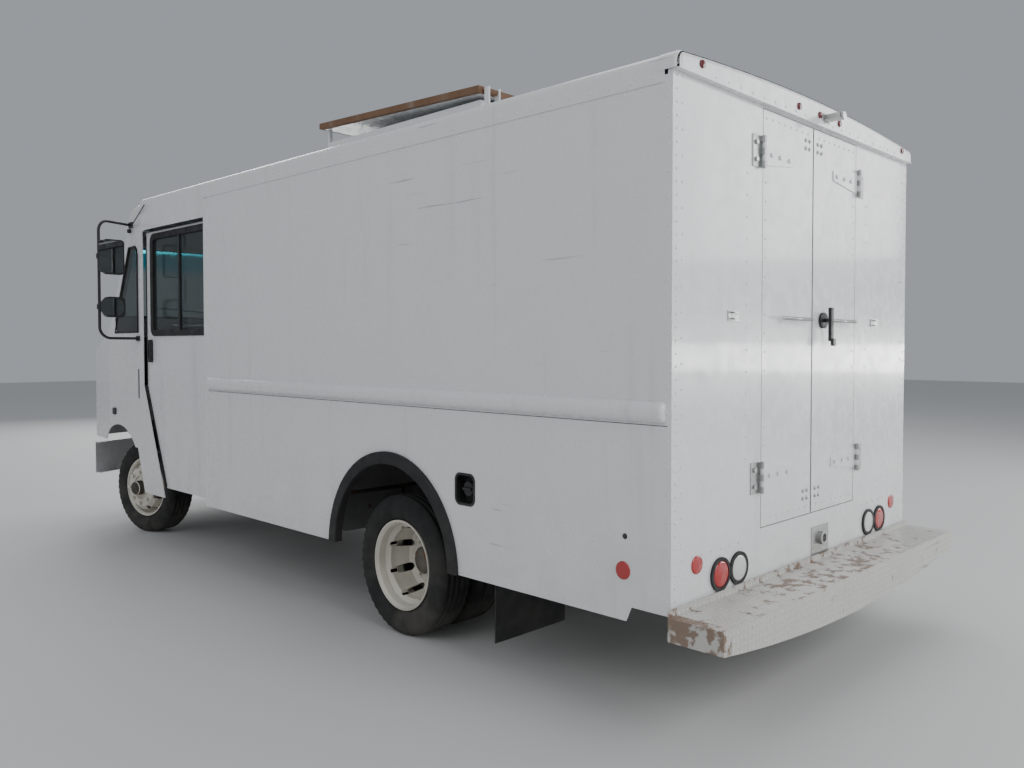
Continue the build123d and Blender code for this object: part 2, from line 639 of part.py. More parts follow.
flap_x = 1150.0
with BuildPart() as mud_flaps:
    for name, sign in SIDES:
        width = sorted((sign * 660, sign * 1170))
        block((ahead(flap_x), ahead(flap_x + 8)), width, (150, 730))
        block((ahead(flap_x - 24), ahead(flap_x)), width, (690, 730))
        arm = sorted((sign * rail_y, sign * 662))
        block((ahead(flap_x - 24), ahead(flap_x)), arm, (690, 730))
finish(mud_flaps, "mud_flaps")

cup_depth = 60.0
with BuildPart() as fuel_cup:
    with BuildSketch(Plane.XZ.offset(-(half + 3))):
        with Locations((ahead(filler[0]), filler[1])):
            RectangleRounded(filler_size[0], filler_size[1], 40)
    extrude(amount=2.7)
    with BuildSketch(Plane.XZ.offset(-(half + 1))):
        with Locations((ahead(filler[0]), filler[1])):
            RectangleRounded(filler_size[0] - 13, filler_size[1] - 13, 33)
    extrude(amount=cup_depth)
    with BuildSketch(Plane.XZ.offset(-(half + 3))):
        with Locations((ahead(filler[0]), filler[1])):
            RectangleRounded(filler_size[0] - 26, filler_size[1] - 26, 28)
    extrude(amount=cup_depth - 2, mode=Mode.SUBTRACT)
    neck = (ahead(filler[0]), half - cup_depth - 60, filler[1])
    bar(neck, (neck[0], half - cup_depth + 22, neck[2]), 28)
finish(fuel_cup, "fuel_cup")

with BuildPart() as fuel_cap:
    cap = (ahead(filler[0]), half - cup_depth + 22 + clearance, filler[1])
    bar(cap, (cap[0], cap[1] + 16, cap[2]), 38)
    block((cap[0] - 32, cap[0] + 32), (cap[1] + 16, cap[1] + 28), (cap[2] - 6, cap[2] + 6))
finish(fuel_cap, "fuel_cap")

# ---------------------------------------------------------------- cab shell
cab_wall = 8.0
door_front_x = 5565.0      # front edge of the sliding door's opening
door_kink_z = 1335.0       # below here the edge slants back to the step
door_foot_x = 5165.0
door_head_z = 2628.0
cab_top_z = roof_edge_z + 60
crease_x = 6330.0          # where the cab side turns towards the nose
nose_corner_x = 6880.0
nose_x = nose_length - 75.0
nose_low = 800.0
front_arch_radius = 490.0
front_arch_z = 485.0

cab_outline = [(door_foot_x, 432), (door_front_x, door_kink_z), (door_front_x, roof_header_z),
               (roof_front_x + 3, roof_header_z), (roof_front_x + 3, cab_top_z), (5640, 2905), (5780, 2815),
               (5885, 2700), (5915, 2560), (6265, 1905), (6350, 1790), (6620, 1712), (6900, 1610), (7060, 1470),
               (7110, 1385), (7085, 1200), (nose_x - 5, 960), (nose_x - 10, nose_low), (5700, nose_low), (5560, 432)]


def cab_volume(wall):
    """The cab's outer shape, or the hollow inside it when wall is more than nothing."""
    with BuildSketch(Plane.XZ.offset(-cab_half)) as side_face:
        with BuildLine():
            Polyline(*[(ahead(x), z) for x, z in cab_outline], close=True)
        make_face()
        offset(amount=-wall) if wall else None
    with BuildSketch(Plane.XY.offset(0)) as plan_face:
        corner = cab_half - 70
        with BuildLine():
            Polyline((ahead(post_x), -cab_half), (ahead(crease_x), -cab_half),
                     (ahead(nose_corner_x), -corner))
            ThreePointArc((ahead(nose_corner_x), -corner), (ahead(nose_x), 0), (ahead(nose_corner_x), corner))
            Polyline((ahead(nose_corner_x), corner), (ahead(crease_x), cab_half), (ahead(post_x), cab_half),
                     (ahead(post_x), -cab_half))
        make_face()
        offset(amount=-wall) if wall else None
    side_solid = extrude(side_face.sketch, amount=cab_width, mode=Mode.PRIVATE)
    plan_solid = extrude(plan_face.sketch, amount=3200, mode=Mode.PRIVATE)
    crown = roof_section(Plane.YZ.offset(ahead(post_x)), cab_half - half - wall, 300)
    crown_solid = extrude(crown, amount=nose_length - post_x, mode=Mode.PRIVATE)
    return side_solid & plan_solid & crown_solid


hood_half = 560.0
screen_foot = (6250.0, 1933.0)
screen_head = (5932.0, 2528.0)
screen_half = 1115.0
quarter_outline = [(5660, 1790), (5660, 2440), (5705, 2515), (5835, 2515), (6145, 1905), (6170, 1790)]

with BuildPart() as cab_front:
    add(cab_volume(0))
    add(cab_volume(cab_wall), mode=Mode.SUBTRACT)
    inside_y = (-cab_half + cab_wall, cab_half - cab_wall)
    cab_rear = Plane.YZ.offset(ahead(roof_front_x))
    rear_opening = roof_section(cab_rear, cab_half - half - cab_wall, roof_header_z - 2)
    extrude(rear_opening, amount=cab_wall + 6, mode=Mode.SUBTRACT)
    block((ahead(door_foot_x - 20), ahead(nose_x - 140)), inside_y, (400, nose_low + 20), Mode.SUBTRACT)
    doorway = (ahead(door_foot_x - 10), ahead(door_front_x + 20))
    block(doorway, inside_y, (420, roof_header_z + 1), Mode.SUBTRACT)
    hatchway = [(6690, 1600), (6690, 1800), (7000, 1800), (7200, 1500), (7200, 1420), (7060, 1420)]
    side_plate([(ahead(x), z) for x, z in hatchway], hood_half - 30, hood_half * 2 - 60, Mode.SUBTRACT)
    with BuildSketch(Plane.XZ.offset(-cab_half)):
        with Locations((ahead(front_axle_x + 30), front_arch_z)):
            Circle(front_arch_radius)
    extrude(amount=cab_width, mode=Mode.SUBTRACT)
    with BuildSketch(Plane.XZ.offset(-cab_half)) as quarter_cut:
        with BuildLine():
            Polyline(*[(ahead(x), z) for x, z in quarter_outline], close=True)
        make_face()
        fillet(quarter_cut.vertices(), radius=30)
    extrude(amount=cab_width, mode=Mode.SUBTRACT)
    rake = Vector(screen_head[0] - screen_foot[0], 0, screen_head[1] - screen_foot[1])
    screen_middle = (ahead((screen_foot[0] + screen_head[0]) / 2), 0, (screen_foot[1] + screen_head[1]) / 2)
    screen_out = Vector(rake.Z, 0, -rake.X).normalized()
    screen_plane = Plane(origin=screen_middle, x_dir=(0, 1, 0), z_dir=screen_out)
    with BuildSketch(screen_plane):
        RectangleRounded(screen_half * 2, rake.length, 60)
    extrude(amount=80, both=True, mode=Mode.SUBTRACT)
finish(cab_front, "cab_front")

with BuildPart() as cab_glass:
    with BuildSketch(screen_plane.offset(-5)):
        RectangleRounded(screen_half * 2 - 2, rake.length - 2, 59)
    extrude(amount=-6)
    for name, sign in SIDES:
        face_y = cab_half - 1.5 if sign > 0 else -cab_half + cab_wall - 0.5
        with BuildSketch(Plane.XZ.offset(-face_y)) as pane:
            with BuildLine():
                Polyline(*[(ahead(x), z) for x, z in quarter_outline], close=True)
            make_face()
            fillet(pane.vertices(), radius=30)
            offset(amount=-1)
        extrude(amount=6)
finish(cab_glass, "cab_glass")

with BuildPart() as hood:
    lid = [(6655, 1700), (6900, 1612), (7060, 1472.4), (7109.6, 1390), (7122, 1396), (7068, 1484)]
    lid = lid + [(6906, 1624), (6658, 1712)]
    side_plate([(ahead(x), z) for x, z in lid], hood_half, hood_half * 2)
    bar((ahead(6657), -hood_half, 1712), (ahead(6657), hood_half, 1712), 6)
finish(hood, "hood")

bumper_low = 456.0
bumper_high = 752.0
bumper_end = (6945.0, 1118.0)
bumper_wall = 6.0
plate_bolt_y = 89.0
plate_bolt_z = 600.0

with BuildPart() as front_bumper:
    with BuildSketch(Plane.XY.offset(bumper_low)):
        with BuildLine():
            reach = ahead(bumper_end[0])
            ThreePointArc((reach, -bumper_end[1]), (ahead(nose_length), 0), (reach, bumper_end[1]))
            Line((reach, bumper_end[1]), (reach - bumper_wall, bumper_end[1] - 2))
            ThreePointArc((reach - bumper_wall, bumper_end[1] - 2), (ahead(nose_length - bumper_wall), 0),
                          (reach - bumper_wall, -bumper_end[1] + 2))
            Line((reach - bumper_wall, -bumper_end[1] + 2), (reach, -bumper_end[1]))
        make_face()
    extrude(amount=bumper_high - bumper_low)
    for low in (bumper_low, bumper_high - bumper_wall):
        with BuildSketch(Plane.XY.offset(low)):
            with BuildLine():
                ThreePointArc((reach, -bumper_end[1]), (ahead(nose_length), 0), (reach, bumper_end[1]))
                Line((reach, bumper_end[1]), (reach - 55, bumper_end[1] - 20))
                ThreePointArc((reach - 55, bumper_end[1] - 20), (ahead(nose_length - 55), 0),
                              (reach - 55, -bumper_end[1] + 20))
                Line((reach - 55, -bumper_end[1] + 20), (reach, -bumper_end[1]))
            make_face()
        extrude(amount=bumper_wall)
    for name, sign in SIDES:
        arm = sorted((sign * (rail_y - 70), sign * (rail_y - 20)))
        block((ahead(rail_front_x - 1.6), ahead(nose_length - 30)), arm, (rail_low + 20, rail_top - 20))
        hole = (ahead(nose_length - 40), sign * plate_bolt_y, plate_bolt_z)
        bar(hole, (hole[0] + 60, hole[1], hole[2]), 3.5, Mode.SUBTRACT)
finish(front_bumper, "front_bumper")

# ---------------------------------------------------------------- sliding side doors
door_rear_x = 4270.0
side_glass_x = (4420.0, 5410.0)
side_glass_z = (1800.0, 2556.0)
window_frame = 55.0        # rubber round the panes
divider_x = 4915.0
pull_x = 5455.0

door_outline = [(door_rear_x, step_z + 6), (door_foot_x + 20, step_z + 6), (door_front_x - 10, door_kink_z),
                (door_front_x - 10, door_head_z - 8), (door_rear_x, door_head_z - 8)]
opening_x = (side_glass_x[0] - window_frame / 2, side_glass_x[1] + window_frame / 2)
opening_z = (side_glass_z[0] - window_frame / 2, side_glass_z[1] + window_frame / 2)
window_mid = (ahead((opening_x[0] + opening_x[1]) / 2), (opening_z[0] + opening_z[1]) / 2)

with BuildPart() as side_door:
    side_plate([(ahead(x), z) for x, z in door_outline], door_plane - 6, door_thick - 6)
    inner = [(door_rear_x + 40, step_z + 50), (door_foot_x - 10, step_z + 50),
             (door_front_x - 50, door_kink_z + 10),
             (door_front_x - 50, 1720), (door_rear_x + 40, 1720)]
    side_plate([(ahead(x), z) for x, z in inner], door_plane - 6 - skin, door_thick, Mode.SUBTRACT)
    with BuildSketch(Plane.XZ.offset(-door_plane)):
        with Locations(window_mid):
            RectangleRounded(opening_x[1] - opening_x[0], opening_z[1] - opening_z[0], 50)
    extrude(amount=door_thick + 10, mode=Mode.SUBTRACT)
finish_pair(side_door, "side_door")

with BuildPart() as door_fittings:
    with BuildSketch(Plane.XZ.offset(-(door_plane - 3))):
        with Locations(window_mid):
            RectangleRounded(opening_x[1] - opening_x[0] + window_frame, opening_z[1] - opening_z[0] + 40, 70)
            glass_width = side_glass_x[1] - side_glass_x[0]
            glass_height = side_glass_z[1] - side_glass_z[0]
            RectangleRounded(glass_width, glass_height, 40, mode=Mode.SUBTRACT)
    extrude(amount=2.7)
    with BuildSketch(Plane.XZ.offset(-(door_plane - 4))):
        with Locations(window_mid):
            RectangleRounded(opening_x[1] - opening_x[0] - 0.6, opening_z[1] - opening_z[0] - 0.6, 50)
            RectangleRounded(glass_width, glass_height, 40, mode=Mode.SUBTRACT)
    extrude(amount=door_thick - 8)
    block((ahead(divider_x - 14), ahead(divider_x + 14)), (door_plane - 24, door_plane - 8), side_glass_z)
    for pane_x in ((side_glass_x[0] - 8, divider_x + 4), (divider_x - 4, side_glass_x[1] + 8)):
        block((ahead(pane_x[0]), ahead(pane_x[1])), (door_plane - 18, door_plane - 14),
              (side_glass_z[0] - 8, side_glass_z[1] + 8))
    block((ahead(pull_x - 20), ahead(pull_x + 20)), (door_plane - 5.7, door_plane + 28), (1533, 1725))
    fillet(door_fittings.edges().filter_by(Axis.Z).sort_by(Axis.Y)[-2:], radius=8)
finish_pair(door_fittings, "door_fittings")

# ---------------------------------------------------------------- mirrors and aerial
mirror_x = 5640.0
mirror_y = 1500.0
mirror_tube = 11.0
loop_low = 1735.0
loop_high = 2705.0
arm_high_x = 5790.0
arm_low_x = 5655.0
loop_bend = 90.0
head_z = (2262.0, 2552.0)  # big flat mirror
spot_z = (1908.0, 2078.0)  # round-nosed wide-angle mirror

with BuildPart() as mirror_brackets:
    foot_thick = 12.0
    pipe([(ahead(arm_low_x), cab_half + foot_thick - 2, loop_low), (ahead(mirror_x), mirror_y, loop_low),
          (ahead(mirror_x), mirror_y, loop_high), (ahead(arm_high_x), cab_half + foot_thick - 2, loop_high)],
         loop_bend, mirror_tube)
    foot_y = (cab_half, cab_half + foot_thick)
    block((ahead(arm_high_x - 45), ahead(arm_high_x + 30)), foot_y, (loop_high - 24, loop_high + 24))
    block((ahead(arm_low_x - 30), ahead(arm_low_x + 30)), foot_y, (loop_low - 22, loop_low + 22))
    mirror(about=Plane.XZ)
finish(mirror_brackets, "mirror_brackets")


def mirror_head(name, height, width, depth, corner):
    """A mirror head with its clamp, which turns about the upright tube."""
    with BuildPart() as head:
        inner_y = mirror_y - mirror_tube - 16
        middle = (height[0] + height[1]) / 2
        block((ahead(mirror_x - depth / 2), ahead(mirror_x + depth / 2)), (inner_y - width, inner_y), height)
        fillet(head.edges().filter_by(Axis.X), radius=corner)
        fillet(head.faces().sort_by(Axis.X)[-1].edges(), radius=depth / 3)
        block((ahead(mirror_x - 8), ahead(mirror_x + 8)), (inner_y - 5, mirror_y), (middle - 14, middle + 14))
        clamp = (ahead(mirror_x), mirror_y, middle - 20)
        bar(clamp, (clamp[0], clamp[1], middle + 20), mirror_tube + 8)
        bar((ahead(mirror_x), mirror_y, middle - 21), (ahead(mirror_x), mirror_y, middle + 21),
            mirror_tube + clearance, Mode.SUBTRACT)
    finish_pair(head, name)


mirror_head("mirror_head", head_z, 160.0, 50.0, 30.0)
mirror_head("spot_mirror", spot_z, 160.0, 70.0, 40.0)

aerial_foot = (5800.0, 2654.0)
with BuildPart() as aerial:
    foot = (ahead(aerial_foot[0]), cab_half, aerial_foot[1])
    bar(foot, (foot[0], foot[1] + 24, foot[2]), 17)
    bar((foot[0] + 10, foot[1] + 18, foot[2] - 4), (foot[0] - 425, foot[1] + 48, foot[2] + 176), 4)
finish(aerial, "aerial")

# ---------------------------------------------------------------- inside the cab
column_low = (5850.0, 600.0, 1220.0)
column_lean = 42.0         # from upright, degrees
column_length = 470.0
column_dir = Vector(-sin(radians(column_lean)), 0, cos(radians(column_lean)))
wheel_rim_radius = 215.0

with BuildPart() as dashboard:
    dash = [(5900, 1330), (5870, 1600), (5930, 1745), (6090, 1765), (6240, 1745), (6300, 1500), (6230, 1330)]
    side_plate([(ahead(x), z) for x, z in dash], 1140, 2280)
    binnacle = [(5875, 1640), (5900, 1850), (6000, 1870), (6110, 1760), (5940, 1740)]
    side_plate([(ahead(x), z) for x, z in binnacle], 800, 400)
    hollow = [(5930, 1360), (5905, 1600), (5950, 1715), (6090, 1735)]
    hollow = hollow + [(6215, 1715), (6270, 1500), (6200, 1360)]
    side_plate([(ahead(x), z) for x, z in hollow], 1120, 2240, Mode.SUBTRACT)
    start = Vector(ahead(column_low[0]), column_low[1], column_low[2])
    bar(tuple(start), tuple(start + column_dir * column_length), 26)
    block((ahead(5830), ahead(5960)), (575, 625), (1200, 1360))
finish(dashboard, "dashboard")

wheel_hub = start + column_dir * (column_length + clearance)
with BuildPart() as steering_wheel:
    bar(tuple(wheel_hub), tuple(wheel_hub + column_dir * 40), 45)
    rim_plane = Plane(origin=tuple(wheel_hub + column_dir * 25), x_dir=(0, 1, 0), z_dir=tuple(column_dir))
    with BuildSketch(Plane(origin=rim_plane.from_local_coords((wheel_rim_radius, 0, 0)), x_dir=rim_plane.x_dir,
                           z_dir=rim_plane.y_dir)):
        Circle(15)
    revolve(axis=Axis(rim_plane.origin, rim_plane.z_dir), revolution_arc=360)
    for angle in (90, 210, 330):
        across = wheel_rim_radius * cos(radians(angle))
        along = wheel_rim_radius * sin(radians(angle))
        tip = rim_plane.from_local_coords((across, along, 0))
        bar(tuple(rim_plane.origin), tuple(tip), 9)
finish(steering_wheel, "steering_wheel")

seat_x = (4700.0, 5180.0)
seat_y = (350.0, 850.0)
cushion_z = (1168.4, 1280.0)
with BuildPart() as seat_base:
    block((ahead(seat_x[0] + 60), ahead(seat_x[1] - 60)), (seat_y[0] + 70, seat_y[1] - 70), (floor_z, 1080))
    for y in (seat_y[0] + 60, seat_y[1] - 90):
        block((ahead(seat_x[0]), ahead(seat_x[1])), (y, y + 30), (1080, 1110))
finish(seat_base, "seat_base")

with BuildPart() as seat_frame:
    block((ahead(seat_x[0]), ahead(seat_x[1])), (seat_y[0] + 20, seat_y[1] - 20), (1110 + clearance, 1168))
    block((ahead(seat_x[0] - 60), ahead(seat_x[0] - 20)), (seat_y[0] + 80, seat_y[1] - 80), (1120, 1800))
    block((ahead(seat_x[0] - 60), ahead(seat_x[0] + 1)), (seat_y[0] + 80, seat_y[1] - 80), (1120, 1160))
finish(seat_frame, "seat_frame")

with BuildPart() as seat_cushions:
    block((ahead(seat_x[0] + 90), ahead(seat_x[1] + 20)), seat_y, cushion_z)
    block((ahead(seat_x[0] - 19.6), ahead(seat_x[0] + 85)), seat_y, (cushion_z[0] + 10, 1860))
    fillet(seat_cushions.edges(), radius=28)
finish(seat_cushions, "seat_cushions")

# ---------------------------------------------------------------- roof hatch lid
lid_x = (1420.0, 3010.0)
lid_y = (350.0, 1050.0)
lid_thick = 36.0
lid_low_z = curb_top + 24
lid_tilt = 2.2             # the front edge stands up on its stay, degrees
lid_pin = (lid_x[0] - 30, lid_low_z + 10)

with BuildPart() as roof_hatch:
    block((ahead(lid_x[0]), ahead(lid_x[1])), lid_y, (lid_low_z, lid_low_z + lid_thick))
    for y in (lid_y[0] + 40, lid_y[1] - 100):
        block((ahead(lid_pin[0]), ahead(lid_x[0] + 40)), (y, y + 60), (lid_low_z + 2, lid_low_z + 18))
        bar((ahead(lid_pin[0]), y, lid_pin[1]), (ahead(lid_pin[0]), y + 60, lid_pin[1]), 16)
    for y in (lid_y[0] + 40, lid_y[1] - 100):
        bar((ahead(lid_pin[0]), y - 1, lid_pin[1]), (ahead(lid_pin[0]), y + 61, lid_pin[1]), 8 + clearance,
            Mode.SUBTRACT)
lid_axis = Axis((ahead(lid_pin[0]), 0, lid_pin[1]), (0, -1, 0))
roof_hatch.part = roof_hatch.part.rotate(lid_axis, lid_tilt)
finish(roof_hatch, "roof_hatch")

with BuildPart() as hatch_brackets:
    for y in (lid_y[0] + 40, lid_y[1] - 100):
        bar((ahead(lid_pin[0]), y - 12, lid_pin[1]), (ahead(lid_pin[0]), y + 72, lid_pin[1]), 8)
        for side in (y - 12, y + 62):
            block((ahead(lid_pin[0] - 22), ahead(lid_pin[0] + 14)), (side, side + 9),
                  (roof_surface(side), lid_pin[1] + 20))
    stay_x = hatch_x[1] + curb_wall - 2
    rise = (stay_x - 20 - lid_pin[0]) * sin(radians(lid_tilt))
    for y in (hatch_y[0] - curb_wall + 2, hatch_y[1] + 2):
        block((ahead(stay_x - 20), ahead(stay_x)), (y, y + 20), (curb_top, lid_low_z + rise - 1.2))
finish(hatch_brackets, "hatch_brackets")

# ---------------------------------------------------------------- wheels and tyres
flange_radius = 261.0
rim_half = 86.0            # from the middle to a bead flange
rim_sheet = 9.0
disc_offset = dual_spacing / 2
disc_flat = 168.0
lug_circle = 275.0 / 2
hub_bore = 105.0


def revolved(outline):
    """Turn a (radius, along the axle) outline round the Y axis."""
    with BuildSketch(Plane.XY) as section:
        with BuildLine():
            Polyline(*outline, close=True)
        make_face()
    return revolve(section.sketch, axis=Axis.Y, revolution_arc=360)


def rim_solid(dish):
    """A rim and its disc; dish is +1 when the disc bulges outwards, -1 when it is deep inside."""
    with BuildPart() as rim:
        over = [(flange_radius, rim_half + 9), (flange_radius, rim_half), (rim_radius, rim_half - 4),
                (rim_radius - 4, 40), (218, 22)]
        under = [(209, 18), (rim_radius - 13, 38), (rim_radius - 9, rim_half - 6),
                 (flange_radius - 9, rim_half + 9)]
        far_over = [(radius, -across) for radius, across in reversed(over)]
        far_under = [(radius, -across) for radius, across in reversed(under)]
        well = over + far_over + far_under + under
        revolved(well)
        face = disc_offset * dish
        back = face - 10 * dish
        disc = [(hub_bore, face), (disc_flat, face), (disc_flat + 30, face - 24 * dish), (211, 16 * dish),
                (211, 2 * dish), (disc_flat + 24, back - 22 * dish), (disc_flat - 4, back), (hub_bore, back)]
        revolved(disc)
        for number in range(8):
            angle = radians(22.5 + number * 45)
            hole = (cos(angle) * 196, -200, sin(angle) * 196)
            bar(hole, (hole[0], 200, hole[2]), 24, Mode.SUBTRACT)
    return rim.part


def tyre_solid():
    """One radial tyre, open towards the rim."""
    with BuildPart() as tyre:
        w = tyre_width / 2
        r = tyre_radius
        bead = rim_radius - 0.3
        seat = rim_half - 12
        outline = [(bead, seat), (flange_radius + 2, seat + 1), (flange_radius + 6, seat + 12),
                   (flange_radius + 30, w - 10), (r - 100, w - 3), (r - 62, w), (r - 28, w - 8),
                   (r - 10, w - 18), (r, w - 32)]
        inside = [(r - 22, w - 40), (r - 60, w - 18), (r - 100, w - 20), (bead + 30, w - 42), (bead, seat - 16)]
        far = [(radius, -across) for radius, across in reversed(outline)]
        far_inside = [(radius, -across) for radius, across in inside]
        revolved(outline + far + list(reversed(far_inside)) + inside)
    return tyre.part


def hub_solid(reach, dish, cap_radius):
    """A hub with its ring of wheel studs and nuts; reach is how far it stands out of the disc."""
    with BuildPart() as hub:
        face = disc_offset * dish
        inner = face - 10 * dish if dish > 0 else face - 10
        bar((0, inner - 60, 0), (0, inner, 0), 150)
        bar((0, inner - 1, 0), (0, face + reach, 0), cap_radius)
        fillet(hub.faces().sort_by(Axis.Y)[-1].edges(), radius=10)
        for number in range(8):
            angle = radians(number * 45)
            stud = (cos(angle) * lug_circle, inner - 1, sin(angle) * lug_circle)
            bar(stud, (stud[0], max(face, face + 10 * (1 - dish) / 2) + 26, stud[2]), 15)
        bar((0, inner - 61, 0), (0, inner - 10, 0), spindle_radius + clearance, Mode.SUBTRACT)
    return hub.part


front_rim = rim_solid(1)
deep_rim = rim_solid(-1)
tyre_shape = tyre_solid()


def turned(shape, steer_sign):
    """Turn a left-hand front piece about its kingpin to the resting steer angle."""
    pin = Axis((ahead(front_axle_x), kingpin_y, 0), (0, 0, 1))
    return shape.rotate(pin, steer_rest * steer_sign)


for name, sign in SIDES:
    place = Location((ahead(front_axle_x), front_tyre_y, axle_z))
    with BuildPart() as front_wheel:
        add(turned(front_rim.moved(place), sign))
        add(turned(hub_solid(58, 1, 62).moved(place), sign))
        if sign < 0:
            mirror(about=Plane.XZ, mode=Mode.REPLACE)
    finish(front_wheel, f"front_wheel_{name}")
    with BuildPart() as front_tyre:
        add(turned(tyre_shape.moved(place), sign))
        if sign < 0:
            mirror(about=Plane.XZ, mode=Mode.REPLACE)
    finish(front_tyre, f"front_tyre_{name}")
    with BuildPart() as knuckle:
        pin = (ahead(front_axle_x), kingpin_y, eye_low - 38)
        bar(pin, (pin[0], pin[1], eye_high + 38), kingpin_radius)
        for low in (eye_low - 38, eye_high + 2):
            bar((pin[0], pin[1], low), (pin[0], pin[1], low + 36), eye_radius)
            block((pin[0] - 35, pin[0] + 35), (pin[1], pin[1] + eye_radius + 28), (low, low + 36))
        block((pin[0] - 60, pin[0] + 60), (pin[1] + eye_radius + 3, pin[1] + eye_radius + 28),
              (eye_low - 38, eye_high + 38))
        flange_y = pin[1] + eye_radius + 27
        bar((pin[0], flange_y, axle_z), (pin[0], front_tyre_y + disc_offset - 22, axle_z), spindle_radius)
        bar((pin[0], flange_y, axle_z), (pin[0], flange_y + 40, axle_z), 160)
        knuckle.part = turned(knuckle.part, sign)
        if sign < 0:
            mirror(about=Plane.XZ, mode=Mode.REPLACE)
    finish(knuckle, f"steering_knuckle_{name}")

outer = Location((ahead(rear_axle_x), rear_outer_y, axle_z))
inner_place = Location((ahead(rear_axle_x), rear_outer_y - dual_spacing, axle_z))
with BuildPart() as rear_wheels:
    add(deep_rim.moved(outer))
    add(front_rim.moved(inner_place))
    add(hub_solid(70, -1, 88).moved(outer))
finish_pair(rear_wheels, "rear_wheels")
with BuildPart() as rear_tyres:
    add(tyre_shape.moved(outer))
    add(tyre_shape.moved(inner_place))
finish_pair(rear_tyres, "rear_tyres")
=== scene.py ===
# %% [markdown]
# # A mail delivery truck
# The real truck is a riveted aluminium box on a steel ladder frame. The rigid parts already exist in one
# shared frame, so this lesson gives them surfaces and adds what is too fine for solid modelling: rivets,
# seals, tread, lamps and padding.
# %% Load the frame
import json
import math

import bmesh
import bpy
from mathutils import Matrix, Vector
from mathutils.bvhtree import BVHTree

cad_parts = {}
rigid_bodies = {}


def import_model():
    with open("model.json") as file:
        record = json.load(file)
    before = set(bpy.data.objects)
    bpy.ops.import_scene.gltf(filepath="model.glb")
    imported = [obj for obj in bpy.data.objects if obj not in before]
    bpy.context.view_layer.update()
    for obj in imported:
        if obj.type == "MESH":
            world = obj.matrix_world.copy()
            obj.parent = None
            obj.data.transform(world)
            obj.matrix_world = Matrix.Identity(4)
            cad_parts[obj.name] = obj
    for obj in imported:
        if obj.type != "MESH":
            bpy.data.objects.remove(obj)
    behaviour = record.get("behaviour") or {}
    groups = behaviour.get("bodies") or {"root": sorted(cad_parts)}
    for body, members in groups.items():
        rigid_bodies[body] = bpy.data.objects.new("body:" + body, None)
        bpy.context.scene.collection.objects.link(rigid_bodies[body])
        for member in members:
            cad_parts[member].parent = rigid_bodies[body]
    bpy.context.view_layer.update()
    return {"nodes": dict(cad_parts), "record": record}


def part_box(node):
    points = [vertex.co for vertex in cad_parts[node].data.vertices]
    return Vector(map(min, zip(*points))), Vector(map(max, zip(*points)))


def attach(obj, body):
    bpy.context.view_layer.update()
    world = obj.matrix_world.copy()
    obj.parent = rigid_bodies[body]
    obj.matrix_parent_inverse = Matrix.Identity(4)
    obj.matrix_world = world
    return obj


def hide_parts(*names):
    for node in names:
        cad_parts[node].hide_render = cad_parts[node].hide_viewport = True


for leftover in list(bpy.data.objects):
    bpy.data.objects.remove(leftover)
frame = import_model()
nodes = frame["nodes"]

REAR = -3.480       # the body's rear face, metres
SKIN_Y = 1.219      # outer face of the side skins
DOOR_Y = 1.170      # outer face of the sliding doors
AXLE_Z = 0.4055     # height of every wheel's middle
REAR_AXLE_X = -1.480
FRONT_AXLE_X = 2.620
OUTER_TYRE_Y = 1.050
INNER_TYRE_Y = 0.782
KINGPIN_Y = 0.745
STEER_ARM = 0.180   # from a kingpin to the middle of its tyre
STEER_REST = math.radians(13)
BAR_Z = 1.815       # height of the rear door latch and grab rods

# %% [markdown]
# ## Camera
# The truck is seen from behind its left side at the height of a standing person. A long side fills the
# left of the view and the rear doors fill the right, so one view shows both.
# %% Place the camera
yaw = math.radians(-48.875)
pitch = math.radians(-1.590)
roll = math.radians(0.128)
forward = Vector((math.cos(pitch) * math.cos(yaw), math.cos(pitch) * math.sin(yaw), math.sin(pitch)))
right = Vector((math.sin(yaw), -math.cos(yaw), 0.0))
up = right.cross(forward)
right_rolled = math.cos(roll) * right + math.sin(roll) * up
up_rolled = math.cos(roll) * up - math.sin(roll) * right
camera_data = bpy.data.cameras.new("camera")
camera_data.lens = 30.195
camera_data.sensor_width = 36.0
camera_data.shift_x = -0.0913
camera_data.shift_y = -0.0129
camera_data.dof.use_dof = False
camera_data.clip_end = 200.0
camera = bpy.data.objects.new("camera", camera_data)
bpy.context.collection.objects.link(camera)
camera.matrix_world = Matrix.Translation((-5.6202, 4.0886, 1.6716)) @ Matrix(
    (right_rolled, up_rolled, -forward)).transposed().to_4x4()
bpy.context.scene.camera = camera
print("camera looks along", [round(c, 3) for c in forward])

# %% [markdown]
# ## Studio
# A pale matt floor and large soft lights: white paint only reads as glossy when it has something broad and
# bright to reflect.
# %% Build the floor and lights
def stage_material(name, colour):
    """A plain matt studio surface with a faint mottling."""
    made = bpy.data.materials.new(name)
    made.use_nodes = True
    tree = made.node_tree
    shader = tree.nodes["Principled BSDF"]
    noise = tree.nodes.new("ShaderNodeTexNoise")
    noise.inputs["Scale"].default_value = 0.6
    mix = tree.nodes.new("ShaderNodeMix")
    mix.data_type = "RGBA"
    mix.inputs["A"].default_value = (*colour, 1)
    mix.inputs["B"].default_value = (*[c * 0.94 for c in colour], 1)
    tree.links.new(noise.outputs["Fac"], mix.inputs["Factor"])
    tree.links.new(mix.outputs["Result"], shader.inputs["Base Color"])
    shader.inputs["Roughness"].default_value = 0.7
    return made


floor_mesh = bpy.data.meshes.new("studio_floor")
floor_mesh.from_pydata([(-40, -40, 0), (40, -40, 0), (40, 40, 0), (-40, 40, 0)], [], [(0, 1, 2, 3)])
studio_floor = bpy.data.objects.new("studio_floor", floor_mesh)
bpy.context.collection.objects.link(studio_floor)
floor_mesh.materials.append(stage_material("studio_floor", (0.62, 0.62, 0.61)))


